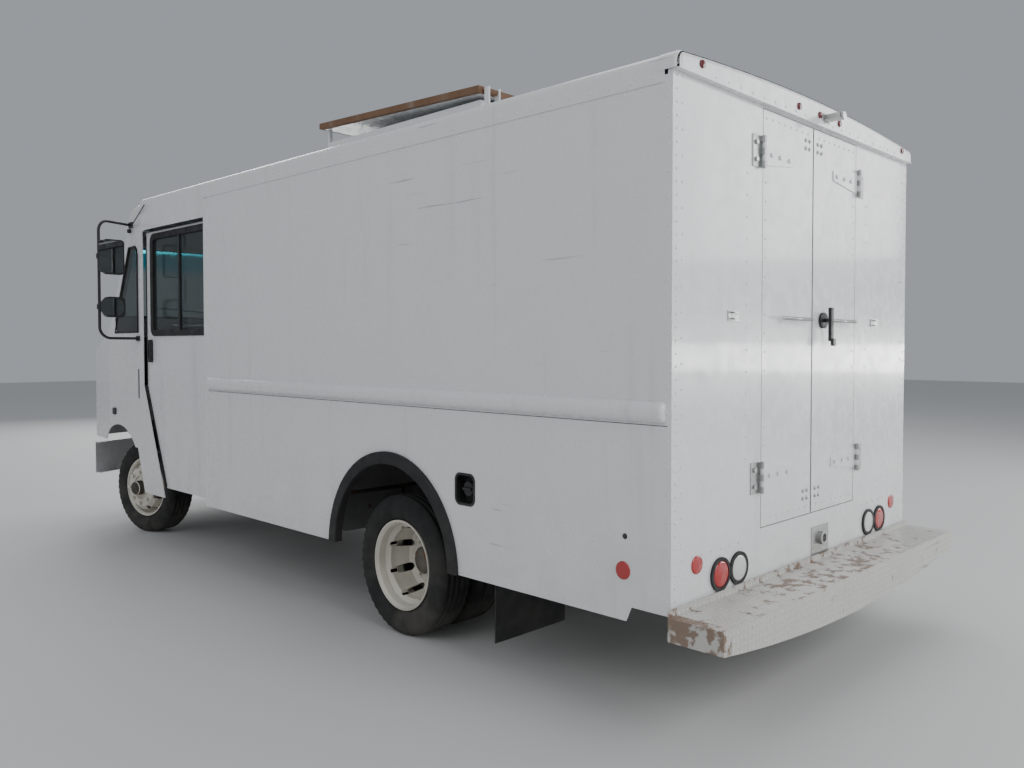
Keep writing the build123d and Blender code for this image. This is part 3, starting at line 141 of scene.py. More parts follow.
def soft_light(name, place, size, power, target=(0.0, 0.0, 1.4)):
    """A square area light aimed at the truck."""
    data = bpy.data.lights.new(name, "AREA")
    data.size = size
    data.energy = power
    lamp = bpy.data.objects.new(name, data)
    bpy.context.collection.objects.link(lamp)
    lamp.location = place
    lamp.rotation_euler = (Vector(target) - Vector(place)).to_track_quat("-Z", "Y").to_euler()
    return lamp


soft_light("side_light", (-2.0, 11.0, 8.0), 9.0, 330)
soft_light("rear_light", (-13.0, 1.0, 6.5), 7.0, 620)
strip = soft_light("strip_light", (-8.2, -8.6, 1.5), 6.0, 170, (-3.5, 0.0, 1.7))
strip.data.shape = "RECTANGLE"
strip.data.size_y = 0.45
soft_light("sky_panel", (-9.0, -9.5, 5.2), 4.0, 260, (-3.5, 0.0, 2.0))
soft_light("top_light", (1.0, -4.0, 12.0), 10.0, 420)
soft_light("front_light", (13.0, -5.0, 7.0), 7.0, 700)
world = bpy.data.worlds.new("studio_world")
world.use_nodes = True
world.node_tree.nodes["Background"].inputs["Color"].default_value = (0.80, 0.85, 0.92, 1)
world.node_tree.nodes["Background"].inputs["Strength"].default_value = 0.42
bpy.context.scene.world = world

# %% [markdown]
# ## Shared surface effects
# Old vehicles share a few effects: worn edges, road dust low down, rain streaks, wavy sheet metal, rust
# and scratches. Each is one node group that gives out a mask or a normal, so that every material can mix
# them in its own strength.
# %% Make the node groups
def put(tree, kind, values=None, **settings):
    """Add one node, set its properties, then fill or link its inputs."""
    made = tree.nodes.new(kind)
    for key, value in settings.items():
        setattr(made, key, value)
    for key, value in (values or {}).items():
        if isinstance(value, bpy.types.NodeSocket):
            tree.links.new(value, made.inputs[key])
        else:
            made.inputs[key].default_value = value
    return made


def maths(tree, operation, a, b=0.0, clamp=False):
    """One math node's result."""
    return put(tree, "ShaderNodeMath", {0: a, 1: b}, operation=operation, use_clamp=clamp).outputs[0]


def remap(tree, value, low, high, out_low=0.0, out_high=1.0):
    """Smooth step of a value between two edges."""
    made = put(tree, "ShaderNodeMapRange", {"Value": value, "From Min": low, "From Max": high,
                                            "To Min": out_low, "To Max": out_high},
               interpolation_type="SMOOTHSTEP")
    return made.outputs["Result"]


def start_group(name, inputs, output, kind="NodeSocketFloat"):
    """A new group with float inputs and one output; returns the tree and its two end nodes."""
    tree = bpy.data.node_groups.new(name, "ShaderNodeTree")
    for label, value in inputs:
        socket = tree.interface.new_socket(label, in_out="INPUT", socket_type="NodeSocketFloat")
        socket.default_value = value
    tree.interface.new_socket(output, in_out="OUTPUT", socket_type=kind)
    return tree, tree.nodes.new("NodeGroupInput"), tree.nodes.new("NodeGroupOutput")


def place_of(tree, scale=(1, 1, 1)):
    """Coordinates fixed to the part, in metres."""
    coordinates = put(tree, "ShaderNodeTexCoord")
    moved = put(tree, "ShaderNodeMapping", {"Vector": coordinates.outputs["Object"], "Scale": scale})
    return moved.outputs[0]


def noise_of(tree, scale, stretch=(1, 1, 1), detail=4.0):
    """Noise between 0 and 1 at a scale per metre."""
    return put(tree, "ShaderNodeTexNoise", {"Vector": place_of(tree, stretch), "Scale": scale,
                                            "Detail": detail}).outputs["Fac"]


edge_wear, inside, outside = start_group("edge wear", [("Width", 0.004), ("Amount", 1.0)], "Mask")
soft_normal = put(edge_wear, "ShaderNodeBevel", {"Radius": inside.outputs["Width"]}, samples=4)
true_normal = put(edge_wear, "ShaderNodeNewGeometry")
alike = put(edge_wear, "ShaderNodeVectorMath", {0: soft_normal.outputs[0], 1: true_normal.outputs["Normal"]},
            operation="DOT_PRODUCT").outputs["Value"]
bend = remap(edge_wear, maths(edge_wear, "SUBTRACT", 1.0, alike), 0.02, 0.16)
patchy = remap(edge_wear, noise_of(edge_wear, 22.0), 0.42, 0.62)
worn = maths(edge_wear, "MULTIPLY", bend, patchy)
edge_mask = maths(edge_wear, "MULTIPLY", worn, inside.outputs["Amount"], True)
edge_wear.links.new(edge_mask, outside.inputs["Mask"])

road_dust, inside, outside = start_group("road dust", [("Height", 1.0), ("Amount", 1.0)], "Mask")
height = put(road_dust, "ShaderNodeSeparateXYZ", {0: place_of(road_dust)}).outputs["Z"]
share_up = maths(road_dust, "DIVIDE", height, inside.outputs["Height"])
low_down = maths(road_dust, "SUBTRACT", 1.0, share_up, True)
cloud = remap(road_dust, noise_of(road_dust, 5.0), 0.30, 0.75)
dusty = maths(road_dust, "MULTIPLY", low_down, cloud)
dust_mask = maths(road_dust, "MULTIPLY", dusty, inside.outputs["Amount"], True)
road_dust.links.new(dust_mask, outside.inputs["Mask"])

rain_streaks, inside, outside = start_group("rain streaks", [("Amount", 1.0)], "Mask")
runs = remap(rain_streaks, noise_of(rain_streaks, 9.0, (1, 1, 0.06)), 0.56, 0.80)
rain_streaks.links.new(maths(rain_streaks, "MULTIPLY", runs, inside.outputs["Amount"], True),
                       outside.inputs["Mask"])

scratches, inside, outside = start_group("scratches", [("Amount", 1.0)], "Mask")
lines = remap(scratches, noise_of(scratches, 40.0, (0.05, 0.05, 1.2), 2.0), 0.70, 0.74)
where = remap(scratches, noise_of(scratches, 1.3), 0.54, 0.66)
scratches.links.new(maths(scratches, "MULTIPLY", maths(scratches, "MULTIPLY", lines, where),
                          inside.outputs["Amount"], True), outside.inputs["Mask"])

rust_patches, inside, outside = start_group("rust patches", [("Amount", 0.5), ("Scale", 8.0)], "Mask")
blot_noise = put(rust_patches, "ShaderNodeTexNoise", {"Vector": place_of(rust_patches), "Detail": 9.0,
                                                      "Roughness": 0.65, "Scale": inside.outputs["Scale"]})
blot = blot_noise.outputs["Fac"]
shifted = maths(rust_patches, "ADD", blot, maths(rust_patches, "SUBTRACT", inside.outputs["Amount"], 0.5))
rust_patches.links.new(remap(rust_patches, shifted, 0.50, 0.58), outside.inputs["Mask"])

sheet_waves, inside, outside = start_group("sheet waves", [("Depth", 0.004), ("Grain", 0.0)], "Normal",
                                           "NodeSocketVector")
broad = noise_of(sheet_waves, 2.2, (1, 1, 0.55), 1.0)
fine = noise_of(sheet_waves, 260.0, (1, 1, 1), 2.0)
first_bump = put(sheet_waves, "ShaderNodeBump", {"Height": broad, "Distance": inside.outputs["Depth"],
                                                 "Strength": 1.0})
second_bump = put(sheet_waves, "ShaderNodeBump", {"Height": fine, "Distance": inside.outputs["Grain"],
                                                  "Normal": first_bump.outputs[0], "Strength": 1.0})
sheet_waves.links.new(second_bump.outputs[0], outside.inputs["Normal"])

tread_bars, inside, outside = start_group("tread bars", [("Pitch", 0.030)], "Height")
split = put(tread_bars, "ShaderNodeSeparateXYZ", {0: place_of(tread_bars)})
surface_data = put(tread_bars, "ShaderNodeNewGeometry")
facing = put(tread_bars, "ShaderNodeSeparateXYZ", {0: surface_data.outputs["Normal"]})
flat = maths(tread_bars, "GREATER_THAN", maths(tread_bars, "ABSOLUTE", facing.outputs["Z"]), 0.5)
across = put(tread_bars, "ShaderNodeMix", {"Factor": flat, "A": split.outputs["Z"], "B": split.outputs["X"]})
along_cell = maths(tread_bars, "DIVIDE", split.outputs["Y"], inside.outputs["Pitch"])
across_cell = maths(tread_bars, "DIVIDE", across.outputs[0], inside.outputs["Pitch"])
along_index = maths(tread_bars, "FLOOR", along_cell)
across_index = maths(tread_bars, "FLOOR", across_cell)
cell_sum = maths(tread_bars, "ADD", along_index, across_index)
odd = maths(tread_bars, "FLOORED_MODULO", cell_sum, 2.0)
bar_lean = maths(tread_bars, "SUBTRACT", maths(tread_bars, "MULTIPLY", odd, 2.0), 1.0)
u = maths(tread_bars, "SUBTRACT", maths(tread_bars, "FRACT", along_cell), 0.5)
v_plain = maths(tread_bars, "SUBTRACT", maths(tread_bars, "FRACT", across_cell), 0.5)
v = maths(tread_bars, "MULTIPLY", v_plain, bar_lean)
bar_long = maths(tread_bars, "DIVIDE", maths(tread_bars, "ADD", u, v), 0.66)
long_way = maths(tread_bars, "POWER", bar_long, 2.0)
bar_short = maths(tread_bars, "DIVIDE", maths(tread_bars, "SUBTRACT", u, v), 0.18)
short_way = maths(tread_bars, "POWER", bar_short, 2.0)
tread_bars.links.new(remap(tread_bars, maths(tread_bars, "ADD", long_way, short_way), 0.5, 1.0, 1.0, 0.0),
                     outside.inputs["Height"])
print("node groups:", [g.name for g in bpy.data.node_groups])

# %% [markdown]
# ## Materials
# Most surfaces are a base colour that drifts a little, plus wear, dust and streaks, over a slightly uneven
# surface. One recipe builds them all and the table below it says how each slot differs.
# %% Build the material recipe
def group(tree, source, **values):
    """Use a shared group; returns its only output."""
    made = put(tree, "ShaderNodeGroup", node_tree=source)
    for key, value in values.items():
        made.inputs[key].default_value = value
    return made.outputs[0]


def blend_colour(tree, mask, below, above):
    """Mix two colours, each a tuple or a socket."""
    below = below if isinstance(below, bpy.types.NodeSocket) else (*below, 1)
    above = above if isinstance(above, bpy.types.NodeSocket) else (*above, 1)
    made = tree.nodes.new("ShaderNodeMix")
    made.data_type = "RGBA"
    for socket, value in ((made.inputs[6], below), (made.inputs[7], above)):
        if isinstance(value, bpy.types.NodeSocket):
            tree.links.new(value, socket)
        else:
            socket.default_value = value
    tree.links.new(mask, made.inputs["Factor"])
    return made.outputs[2]


def surface(name, colour, drift=0.06, rough=(0.3, 0.45), metal=0.0, waves=0.0, grain=0.0002, wear=None,
            wear_amount=0.7, dust=0.5, dust_height=1.0, streaks=0.0, rust=None, coat=0.0, scratch=0.0):
    """A worn surface: colour drift, then streaks, dust, rust, scratches and bare edges."""
    made = bpy.data.materials.new(name)
    made.use_nodes = True
    tree = made.node_tree
    shader = tree.nodes["Principled BSDF"]
    darker = tuple(c * (1 - drift * 2) for c in colour)
    mottle = noise_of(tree, 3.5)
    tint = blend_colour(tree, mottle, colour, darker)
    if streaks:
        tint = blend_colour(tree, group(tree, rain_streaks, Amount=streaks), tint, (0.30, 0.29, 0.26))
    if dust:
        settled = group(tree, road_dust, Amount=dust, Height=dust_height)
        tint = blend_colour(tree, settled, tint, (0.34, 0.31, 0.26))
    if scratch:
        tint = blend_colour(tree, group(tree, scratches, Amount=scratch), tint, (0.16, 0.16, 0.16))
    if wear:
        tint = blend_colour(tree, group(tree, edge_wear, Amount=wear_amount), tint, wear)
    if rust:
        tint = blend_colour(tree, group(tree, rust_patches, Amount=rust), tint, (0.16, 0.07, 0.03))
    tree.links.new(tint, shader.inputs["Base Color"])
    tree.links.new(remap(tree, noise_of(tree, 14.0), 0.3, 0.7, *rough), shader.inputs["Roughness"])
    tree.links.new(group(tree, sheet_waves, Depth=waves, Grain=grain), shader.inputs["Normal"])
    shader.inputs["Metallic"].default_value = metal
    shader.inputs["Coat Weight"].default_value = coat
    shader.inputs["Coat Roughness"].default_value = 0.06
    return made


WHITE = (0.80, 0.81, 0.82)
looks = {
    "body_paint": surface("body_paint", WHITE, 0.015, (0.20, 0.32), waves=0.010, grain=0.00003, streaks=0.20,
                          wear=(0.45, 0.45, 0.45), wear_amount=0.30, dust=0.25, dust_height=1.2, coat=0.35,
                          scratch=0.5),
    "nose_moulding": surface("nose_moulding", (0.78, 0.79, 0.79), 0.015, (0.22, 0.34), waves=0.004,
                             grain=0.00003, streaks=0.12, dust=0.25, dust_height=1.2, coat=0.3),
    "chassis_black": surface("chassis_black", (0.025, 0.024, 0.023), 0.2, (0.5, 0.75), dust=0.8, rust=0.42,
                             wear=(0.12, 0.08, 0.05)),
    "tyre": surface("tyre", (0.022, 0.022, 0.022), 0.2, (0.75, 0.95), grain=0.0006, dust=0.22,
                    dust_height=0.7),
    "black_rubber": surface("black_rubber", (0.018, 0.018, 0.019), 0.2, (0.5, 0.75), grain=0.0004, dust=0.12),
    "black_plastic": surface("black_plastic", (0.02, 0.02, 0.021), 0.15, (0.35, 0.6), grain=0.0003,
                             wear=(0.09, 0.09, 0.09), dust=0.3),
    "wheel_enamel": surface("wheel_enamel", (0.74, 0.71, 0.62), 0.05, (0.28, 0.5), grain=0.0002, rust=0.33,
                            wear=(0.30, 0.20, 0.12), dust=0.75, dust_height=0.9),
    "zinc": surface("zinc", (0.52, 0.53, 0.52), 0.1, (0.30, 0.48), metal=0.9, wear=(0.7, 0.7, 0.7), dust=0.2),
    "seat_vinyl": surface("seat_vinyl", (0.035, 0.036, 0.04), 0.1, (0.4, 0.6), grain=0.0006, dust=0.1),
    "floor_metal": surface("floor_metal", (0.36, 0.36, 0.35), 0.12, (0.35, 0.6), metal=0.7, dust=0.5,
                           scratch=0.8),
    "cast_metal": surface("cast_metal", (0.07, 0.065, 0.06), 0.2, (0.6, 0.85), metal=0.3, grain=0.0008,
                          rust=0.46, dust=0.8),
    "tank_metal": surface("tank_metal", (0.35, 0.36, 0.36), 0.1, (0.4, 0.6), metal=0.7, dust=0.8, rust=0.36),
    "mirror_shell": surface("mirror_shell", (0.02, 0.02, 0.021), 0.15, (0.4, 0.6), grain=0.0004, dust=0.2,
                            wear=(0.08, 0.08, 0.08)),
    "lamp_red": surface("lamp_red", (0.50, 0.010, 0.012), 0.1, (0.10, 0.22), coat=0.8, dust=0.2),
    "lamp_dark_red": surface("lamp_dark_red", (0.14, 0.008, 0.010), 0.1, (0.12, 0.25), coat=0.8, dust=0.1),
    "lamp_clear": surface("lamp_clear", (0.72, 0.73, 0.72), 0.06, (0.08, 0.2), coat=0.8, dust=0.15),
    "seal_dark": surface("seal_dark", (0.06, 0.06, 0.06), 0.2, (0.6, 0.8), dust=0.2),
}
print("materials:", len(looks))

# %% [markdown]
# ## Special materials
# Three surfaces need a recipe of their own. The step is painted tread plate, rubbed brown where feet land.
# The glass carries a teal shade band along the top of the windshield. The hatch lid is plywood, painted
# white inside.
# %% Build step, glass, board and mirror materials
step_paint = surface("tread_plate", (0.78, 0.78, 0.76), 0.04, (0.3, 0.5), dust=0.2, scratch=0.9)
tree = step_paint.node_tree
shader = tree.nodes["Principled BSDF"]
at = put(tree, "ShaderNodeSeparateXYZ", {0: place_of(tree)})
trodden = remap(tree, maths(tree, "ABSOLUTE", at.outputs["Y"]), 0.45, 1.15, 0.13, 0.0)
top_side = maths(tree, "GREATER_THAN", at.outputs["Z"], 0.5465)
end_side = maths(tree, "MULTIPLY", maths(tree, "GREATER_THAN", at.outputs["Y"], 1.2), 0.17)
rust_level = maths(tree, "ADD", maths(tree, "MULTIPLY", trodden, top_side), end_side)
rust_node = put(tree, "ShaderNodeGroup", node_tree=rust_patches)
tree.links.new(maths(tree, "ADD", rust_level, 0.38), rust_node.inputs["Amount"])
rust_node.inputs["Scale"].default_value = 14.0
old_tint = shader.inputs["Base Color"].links[0].from_socket
tree.links.new(blend_colour(tree, rust_node.outputs[0], old_tint, (0.19, 0.095, 0.045)),
               shader.inputs["Base Color"])
bars = put(tree, "ShaderNodeGroup", node_tree=tread_bars)
# The flat plate between the raised bars is mixed towards brown-grey, by the same amount in every hollow.
hollow_darkening = maths(tree, "MULTIPLY", maths(tree, "SUBTRACT", 1.0, bars.outputs[0]), 0.45)
worn_tint = shader.inputs["Base Color"].links[0].from_socket
tree.links.new(blend_colour(tree, hollow_darkening, worn_tint, (0.30, 0.27, 0.23)), shader.inputs["Base Color"])
bar_bump = put(tree, "ShaderNodeBump", {"Height": bars.outputs[0], "Distance": 0.004, "Strength": 1.0})
tree.links.new(bar_bump.outputs[0], shader.inputs["Normal"])
looks["tread_plate"] = step_paint


def glass_material(name, tint, shade_band):
    """Thin vehicle glass; the band is a teal tint near the top of the windshield."""
    made = bpy.data.materials.new(name)
    made.use_nodes = True
    tree = made.node_tree
    shader = tree.nodes["Principled BSDF"]
    smear = noise_of(tree, 6.0, (1, 1, 0.3))
    colour = blend_colour(tree, smear, tint, tuple(c * 0.92 for c in tint))
    if shade_band:
        at = put(tree, "ShaderNodeSeparateXYZ", {0: place_of(tree)})
        high = remap(tree, at.outputs["Z"], 2.30, 2.40)
        middle = maths(tree, "LESS_THAN", maths(tree, "ABSOLUTE", at.outputs["Y"]), 1.13)
        colour = blend_colour(tree, maths(tree, "MULTIPLY", high, middle), colour, (0.02, 0.30, 0.36))
    tree.links.new(colour, shader.inputs["Base Color"])
    tree.links.new(remap(tree, smear, 0.3, 0.8, 0.01, 0.08), shader.inputs["Roughness"])
    shader.inputs["Transmission Weight"].default_value = 0.92
    shader.inputs["Metallic"].default_value = 0.0
    shader.inputs["IOR"].default_value = 1.15
    return made


looks["glass"] = glass_material("glass", (0.34, 0.38, 0.38), True)
looks["board"] = surface("board", (0.24, 0.13, 0.07), 0.25, (0.6, 0.85), grain=0.0008, dust=0.0, streaks=0.6)
looks["mirror_face"] = surface("mirror_face", (0.75, 0.78, 0.8), 0.03, (0.02, 0.06), metal=1.0, grain=0.0,
                               dust=0.0)
looks["lens"] = looks["lamp_red"]

for part in frame["record"]["subparts"]:
    shape = nodes[part["node"]].data
    shape.materials.clear()
    shape.materials.append(looks[part["material_slot"]])


def piece(name, verts, faces, look, body, smooth=True):
    """A new mesh object that rides on a body and takes a finish."""
    mesh = bpy.data.meshes.new(name)
    mesh.from_pydata([tuple(v) for v in verts], [], faces)
    helper = bmesh.new()
    helper.from_mesh(mesh)
    bmesh.ops.recalc_face_normals(helper, faces=helper.faces)
    helper.to_mesh(mesh)
    helper.free()
    mesh.materials.append(looks[look])
    for face in mesh.polygons:
        face.use_smooth = smooth
    made = bpy.data.objects.new(name, mesh)
    bpy.context.collection.objects.link(made)
    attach(made, body)
    return made


def joined(parts):
    """Join (verts, faces) lists into one."""
    verts = []
    faces = []
    for some_verts, some_faces in parts:
        base = len(verts)
        verts.extend(some_verts)
        faces.extend([tuple(i + base for i in face) for face in some_faces])
    return verts, faces


def spun(profile, centre, axis, steps=48, closed=False):
    """Spin (radius, along) points about an axis through centre."""
    axis = Vector(axis).normalized()
    side = axis.orthogonal().normalized()
    other = axis.cross(side)
    verts = []
    for step in range(steps):
        angle = 2 * math.pi * step / steps
        spoke = side * math.cos(angle) + other * math.sin(angle)
        verts.extend([Vector(centre) + spoke * radius + axis * along for radius, along in profile])
    count = len(profile)
    faces = []
    for step in range(steps):
        here = step * count
        there = (step + 1) % steps * count
        for i in range(count if closed else count - 1):
            j = (i + 1) % count
            faces.append((here + i, here + j, there + j, there + i))
    return verts, faces


def rivet_field(name, places, normal, body, radius=0.0065, height=0.0028, look="body_paint"):
    """Domed rivet heads at many places on one flat side."""
    dome = [(radius, -0.0003), (radius * 0.92, height * 0.5), (radius * 0.6, height * 0.88), (0.0002, height)]
    return piece(name, *joined([spun(dome, place, normal, 8) for place in places]), look, body)


def rounded(middle, size, corner, steps=6):
    """Points of a rounded rectangle in two dimensions."""
    points = []
    for quarter, (sx, sy) in enumerate(((1, 1), (-1, 1), (-1, -1), (1, -1))):
        for step in range(steps + 1):
            angle = math.pi / 2 * (quarter + step / steps)
            points.append((middle[0] + sx * (size[0] / 2 - corner) + corner * math.cos(angle),
                           middle[1] + sy * (size[1] / 2 - corner) + corner * math.sin(angle)))
    return points


def slab(outer, inner, depth):
    """A frame between two 3-D loops of equal length, or a filled slab when inner is None."""
    depth = Vector(depth)
    count = len(outer)
    outer = [Vector(p) for p in outer]
    if inner is None:
        verts = outer + [p + depth for p in outer]
        faces = [tuple(range(count)), tuple(range(count, 2 * count))]
        faces += [(i, (i + 1) % count, count + (i + 1) % count, count + i) for i in range(count)]
        return verts, faces
    inner = [Vector(p) for p in inner]
    verts = outer + inner + [p + depth for p in outer] + [p + depth for p in inner]
    faces = []
    for i in range(count):
        j = (i + 1) % count
        faces.append((i, j, count + j, count + i))
        faces.append((2 * count + i, 2 * count + j, 3 * count + j, 3 * count + i))
        faces.append((i, j, 2 * count + j, 2 * count + i))
        faces.append((count + i, count + j, 3 * count + j, 3 * count + i))
    return verts, faces


def tube(name, points, radius, look, body, closed=False):
    """A round bead along a path of points."""
    path = [Vector(p) for p in points]
    verts = []
    for i, point in enumerate(path):
        before = path[i - 1] if i > 0 or closed else point
        after = path[(i + 1) % len(path)] if i < len(path) - 1 or closed else point
        along = (after - before).normalized()
        side = along.cross(Vector((0.13, 0.27, 0.95))).normalized()
        other = along.cross(side)
        verts.extend([point + (side * math.cos(a) + other * math.sin(a)) * radius
                      for a in [2 * math.pi * k / 8 for k in range(8)]])
    faces = []
    rings = len(path)
    for i in range(rings if closed else rings - 1):
        j = (i + 1) % rings
        faces += [(i * 8 + k, i * 8 + (k + 1) % 8, j * 8 + (k + 1) % 8, j * 8 + k) for k in range(8)]
    if not closed:
        faces += [tuple(range(8)), tuple(range((rings - 1) * 8, rings * 8))]
    return piece(name, verts, faces, look, body)


def touch(node, origin, direction):
    """Where a ray first meets a solid part, and the normal there."""
    mesh = nodes[node].data
    tree = BVHTree.FromPolygons([v.co for v in mesh.vertices], [tuple(p.vertices) for p in mesh.polygons])
    place, normal, _, _ = tree.ray_cast(Vector(origin), Vector(direction))
    return place, normal


def soft_edges(made, width=0.002):
    """Round a piece's sharp edges."""
    bevel = made.modifiers.new("soft edges", "BEVEL")
    bevel.width = width
    bevel.segments = 2
    bevel.limit_method = "ANGLE"
    return made


# %% [markdown]
# ## Rivets and seams
# The body is sheet aluminium riveted to posts and rails, so rows of small heads follow every hidden post.
# The rows are what tells the eye how big the plain white sides are.
# %% Set the rivets
def row(start, end, pitch):
    """Evenly spaced places on a line."""
    start = Vector(start)
    end = Vector(end)
    count = max(1, round((end - start).length / pitch))
    return [start.lerp(end, i / count) for i in range(count + 1)]


for side_name, s in (("left", 1), ("right", -1)):
    y = s * SKIN_Y
    places = row((REAR + 0.06, y, 2.755), (0.80, y, 2.755), 0.10)
    places += row((REAR + 0.02, y, 0.60), (REAR + 0.02, y, 2.74), 0.11)
    places += row((0.805, y, 0.52), (0.805, y, 2.74), 0.11)
    places += row((REAR + 0.05, y, 1.325), (0.80, y, 1.325), 0.13)
    for z in (0.60, 0.70, 0.80):
        places += row((-0.75, y, z), (0.75, y, z), 0.25)
        places += row((-3.20, y, z), (-2.75, y, z), 0.15) if z > 0.65 else []
    rivet_field(f"side_rivets_{side_name}", places, (0, s, 0), "chassis")
    seam = slab([(REAR + 0.02, y, 1.338), (0.80, y, 1.338), (0.80, y, 1.341), (REAR + 0.02, y, 1.341)], None,
                (0, s * 0.0012, 0))
    piece(f"side_seam_{side_name}", *seam, "seal_dark", "chassis", False)
    roof_places = row((REAR + 0.10, s * 1.2235, 2.800), (2.00, s * 1.2235, 2.800), 0.12)
    rivet_field(f"roof_rivets_{side_name}", roof_places, (0, s, 0), "chassis")
    wall_places = row((REAR, s * 1.190, 0.60), (REAR, s * 1.190, 2.80), 0.055)
    wall_places += row((REAR, s * 1.150, 0.62), (REAR, s * 1.150, 2.80), 0.11)
    wall_places += row((REAR, s * 0.640, 1.15), (REAR, s * 0.640, 2.48), 0.10)
    wall_places += row((REAR, s * 0.62, 0.765), (REAR, s * 1.14, 0.765), 0.07)
    rivet_field(f"wall_rivets_{side_name}", wall_places, (-1, 0, 0), "chassis")
    door_places = row((REAR, s * 0.06, 2.765), (REAR, s * 0.47, 2.765), 0.06)
    door_places += row((REAR, s * 0.06, 0.845), (REAR, s * 0.47, 0.845), 0.06)
    door_places += row((REAR, s * 0.475, 1.20), (REAR, s * 0.475, 2.46), 0.09)
    rivet_field(f"door_rivets_{side_name}", door_places, (-1, 0, 0), f"rear_door_{side_name}")
    bolts = [(REAR, s * y, z) for y in (0.045, 0.085) for z in (0.89, 0.93, 2.69, 2.73)]
    rivet_field(f"door_bolts_{side_name}", bolts, (-1, 0, 0), f"rear_door_{side_name}", 0.011, 0.007, "zinc")
header_places = row((REAR - 0.034, -0.95, 2.838), (REAR - 0.034, 0.95, 2.838), 0.10)
rivet_field("header_rivets", header_places, (-1, 0, 0), "chassis")

# %% [markdown]
# ## Door seals
# Rubber seals close the shut lines: a bead down the middle of the rear doors, one round their opening and a
# dark line along the slanted front edge of each sliding door.
# %% Lay the seals
loop = [(REAR + 0.001, -0.502, 0.803), (REAR + 0.001, 0.502, 0.803), (REAR + 0.001, 0.502, 2.807),
        (REAR + 0.001, -0.502, 2.807)]
tube("doorway_seal", loop, 0.0022, "black_rubber", "chassis", True)
centre_seal = slab([(REAR - 0.0025, -0.0015, 0.808), (REAR - 0.0025, 0.004, 0.808),
                    (REAR - 0.0025, 0.004, 2.802), (REAR - 0.0025, -0.0015, 2.802)], None, (0.0024, 0, 0))
soft_edges(piece("centre_seal", *centre_seal, "black_rubber", "rear_door_left", False), 0.001)
for side_name, s in (("left", 1), ("right", -1)):
    y = s * (DOOR_Y - 0.0055)
    edge = [(-3.480 + 5.187, y, 0.52), (-3.480 + 5.551, y, 1.335), (-3.480 + 5.551, y, 2.60)]
    tube(f"door_front_seal_{side_name}", edge, 0.006, "black_rubber", f"side_door_{side_name}")

# %% [markdown]
# ## Door hardware
# The grab rods are bright plated steel and the wheel hubs are dark bare castings, so thin shells in those
# finishes cover them.
# %% Sleeve the grab rods and cap the hubs
def front_middle(side):
    """Middle of a front tyre at the resting steer angle; side is +1 on the left."""
    ahead = FRONT_AXLE_X - side * STEER_ARM * math.sin(STEER_REST)
    return (ahead, side * (KINGPIN_Y + STEER_ARM * math.cos(STEER_REST)), AXLE_Z)


rod_x = REAR - 0.034
for side_name, inner, outer in (("left", 0.062, 0.358), ("right", -0.170, -0.445)):
    tube(f"grab_sleeve_{side_name}", [(rod_x, inner, BAR_Z), (rod_x, outer, BAR_Z)], 0.0092, "zinc",
         f"rear_door_{side_name}")
hub = [(0.0892, -0.128), (0.0892, -0.076), (0.080, -0.0630), (0.0005, -0.0630)]
front_hub = [(0.0632, 0.136), (0.0632, 0.184), (0.054, 0.1932), (0.0005, 0.1932)]
for side_name, s in (("left", 1), ("right", -1)):
    rear_middle = (REAR_AXLE_X, s * OUTER_TYRE_Y, AXLE_Z)
    piece(f"rear_hub_shell_{side_name}", *spun(hub, rear_middle, (0, s, 0)), "cast_metal",
          f"rear_wheels_{side_name}")
    outwards = (-s * math.sin(STEER_REST), s * math.cos(STEER_REST), 0)
    piece(f"front_hub_shell_{side_name}", *spun(front_hub, front_middle(s), outwards), "cast_metal",
          f"front_wheel_{side_name}")

# %% [markdown]
# ## Sliding door windows
# Each window is two panes in a rubber gasket with an upright divider. The gasket is one rounded loop of
# rubber, so the corners stay soft.
# %% Build the side windows
def on_door(points, side, y):
    """Stand a 2-D loop up on one side's door, y out from the middle of the truck."""
    return [(x, side * y, z) for x, z in points]


for side_name, s in (("left", 1), ("right", -1)):
    middle = (REAR + 4.915, 2.178)
    outer = rounded(middle, (1.100, 0.850), 0.070)
    inner = rounded(middle, (0.985, 0.752), 0.040)
    gasket = slab(on_door(outer, s, DOOR_Y - 0.0055), on_door(inner, s, DOOR_Y - 0.0055), (0, s * 0.0095, 0))
    gasket_piece = soft_edges(piece(f"window_gasket_{side_name}", *gasket, "black_rubber",
                                    f"side_door_{side_name}"), 0.004)
    throat_outer = rounded(middle, (1.040, 0.806), 0.050)
    throat = slab(on_door(throat_outer, s, DOOR_Y - 0.029), on_door(inner, s, DOOR_Y - 0.029),
                  (0, s * 0.0233, 0))
    piece(f"window_throat_{side_name}", *throat, "black_rubber", f"side_door_{side_name}", False)
    post = slab([(REAR + 4.900, s * (DOOR_Y - 0.024), 1.80), (REAR + 4.930, s * (DOOR_Y - 0.024), 1.80),
                 (REAR + 4.930, s * (DOOR_Y - 0.024), 2.556), (REAR + 4.900, s * (DOOR_Y - 0.024), 2.556)],
                None, (0, s * 0.022, 0))
    soft_edges(piece(f"window_divider_{side_name}", *post, "black_plastic", f"side_door_{side_name}", False))
    pane = slab([(REAR + 4.42, s * (DOOR_Y - 0.018), 1.80), (REAR + 5.41, s * (DOOR_Y - 0.018), 1.80),
                 (REAR + 5.41, s * (DOOR_Y - 0.018), 2.556), (REAR + 4.42, s * (DOOR_Y - 0.018), 2.556)],
                None, (0, s * 0.004, 0))
    piece(f"window_panes_{side_name}", *pane, "glass", f"side_door_{side_name}", False)
    grip = rounded((REAR + 5.455, 1.629), (0.042, 0.190), 0.018)
    hollow = rounded((REAR + 5.455, 1.629), (0.018, 0.130), 0.008)
    pull = slab(on_door(grip, s, DOOR_Y - 0.0055), on_door(hollow, s, DOOR_Y - 0.0055), (0, s * 0.030, 0))
    soft_edges(piece(f"door_pull_{side_name}", *pull, "black_plastic", f"side_door_{side_name}"), 0.004)
    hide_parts(f"door_fittings_{side_name}")
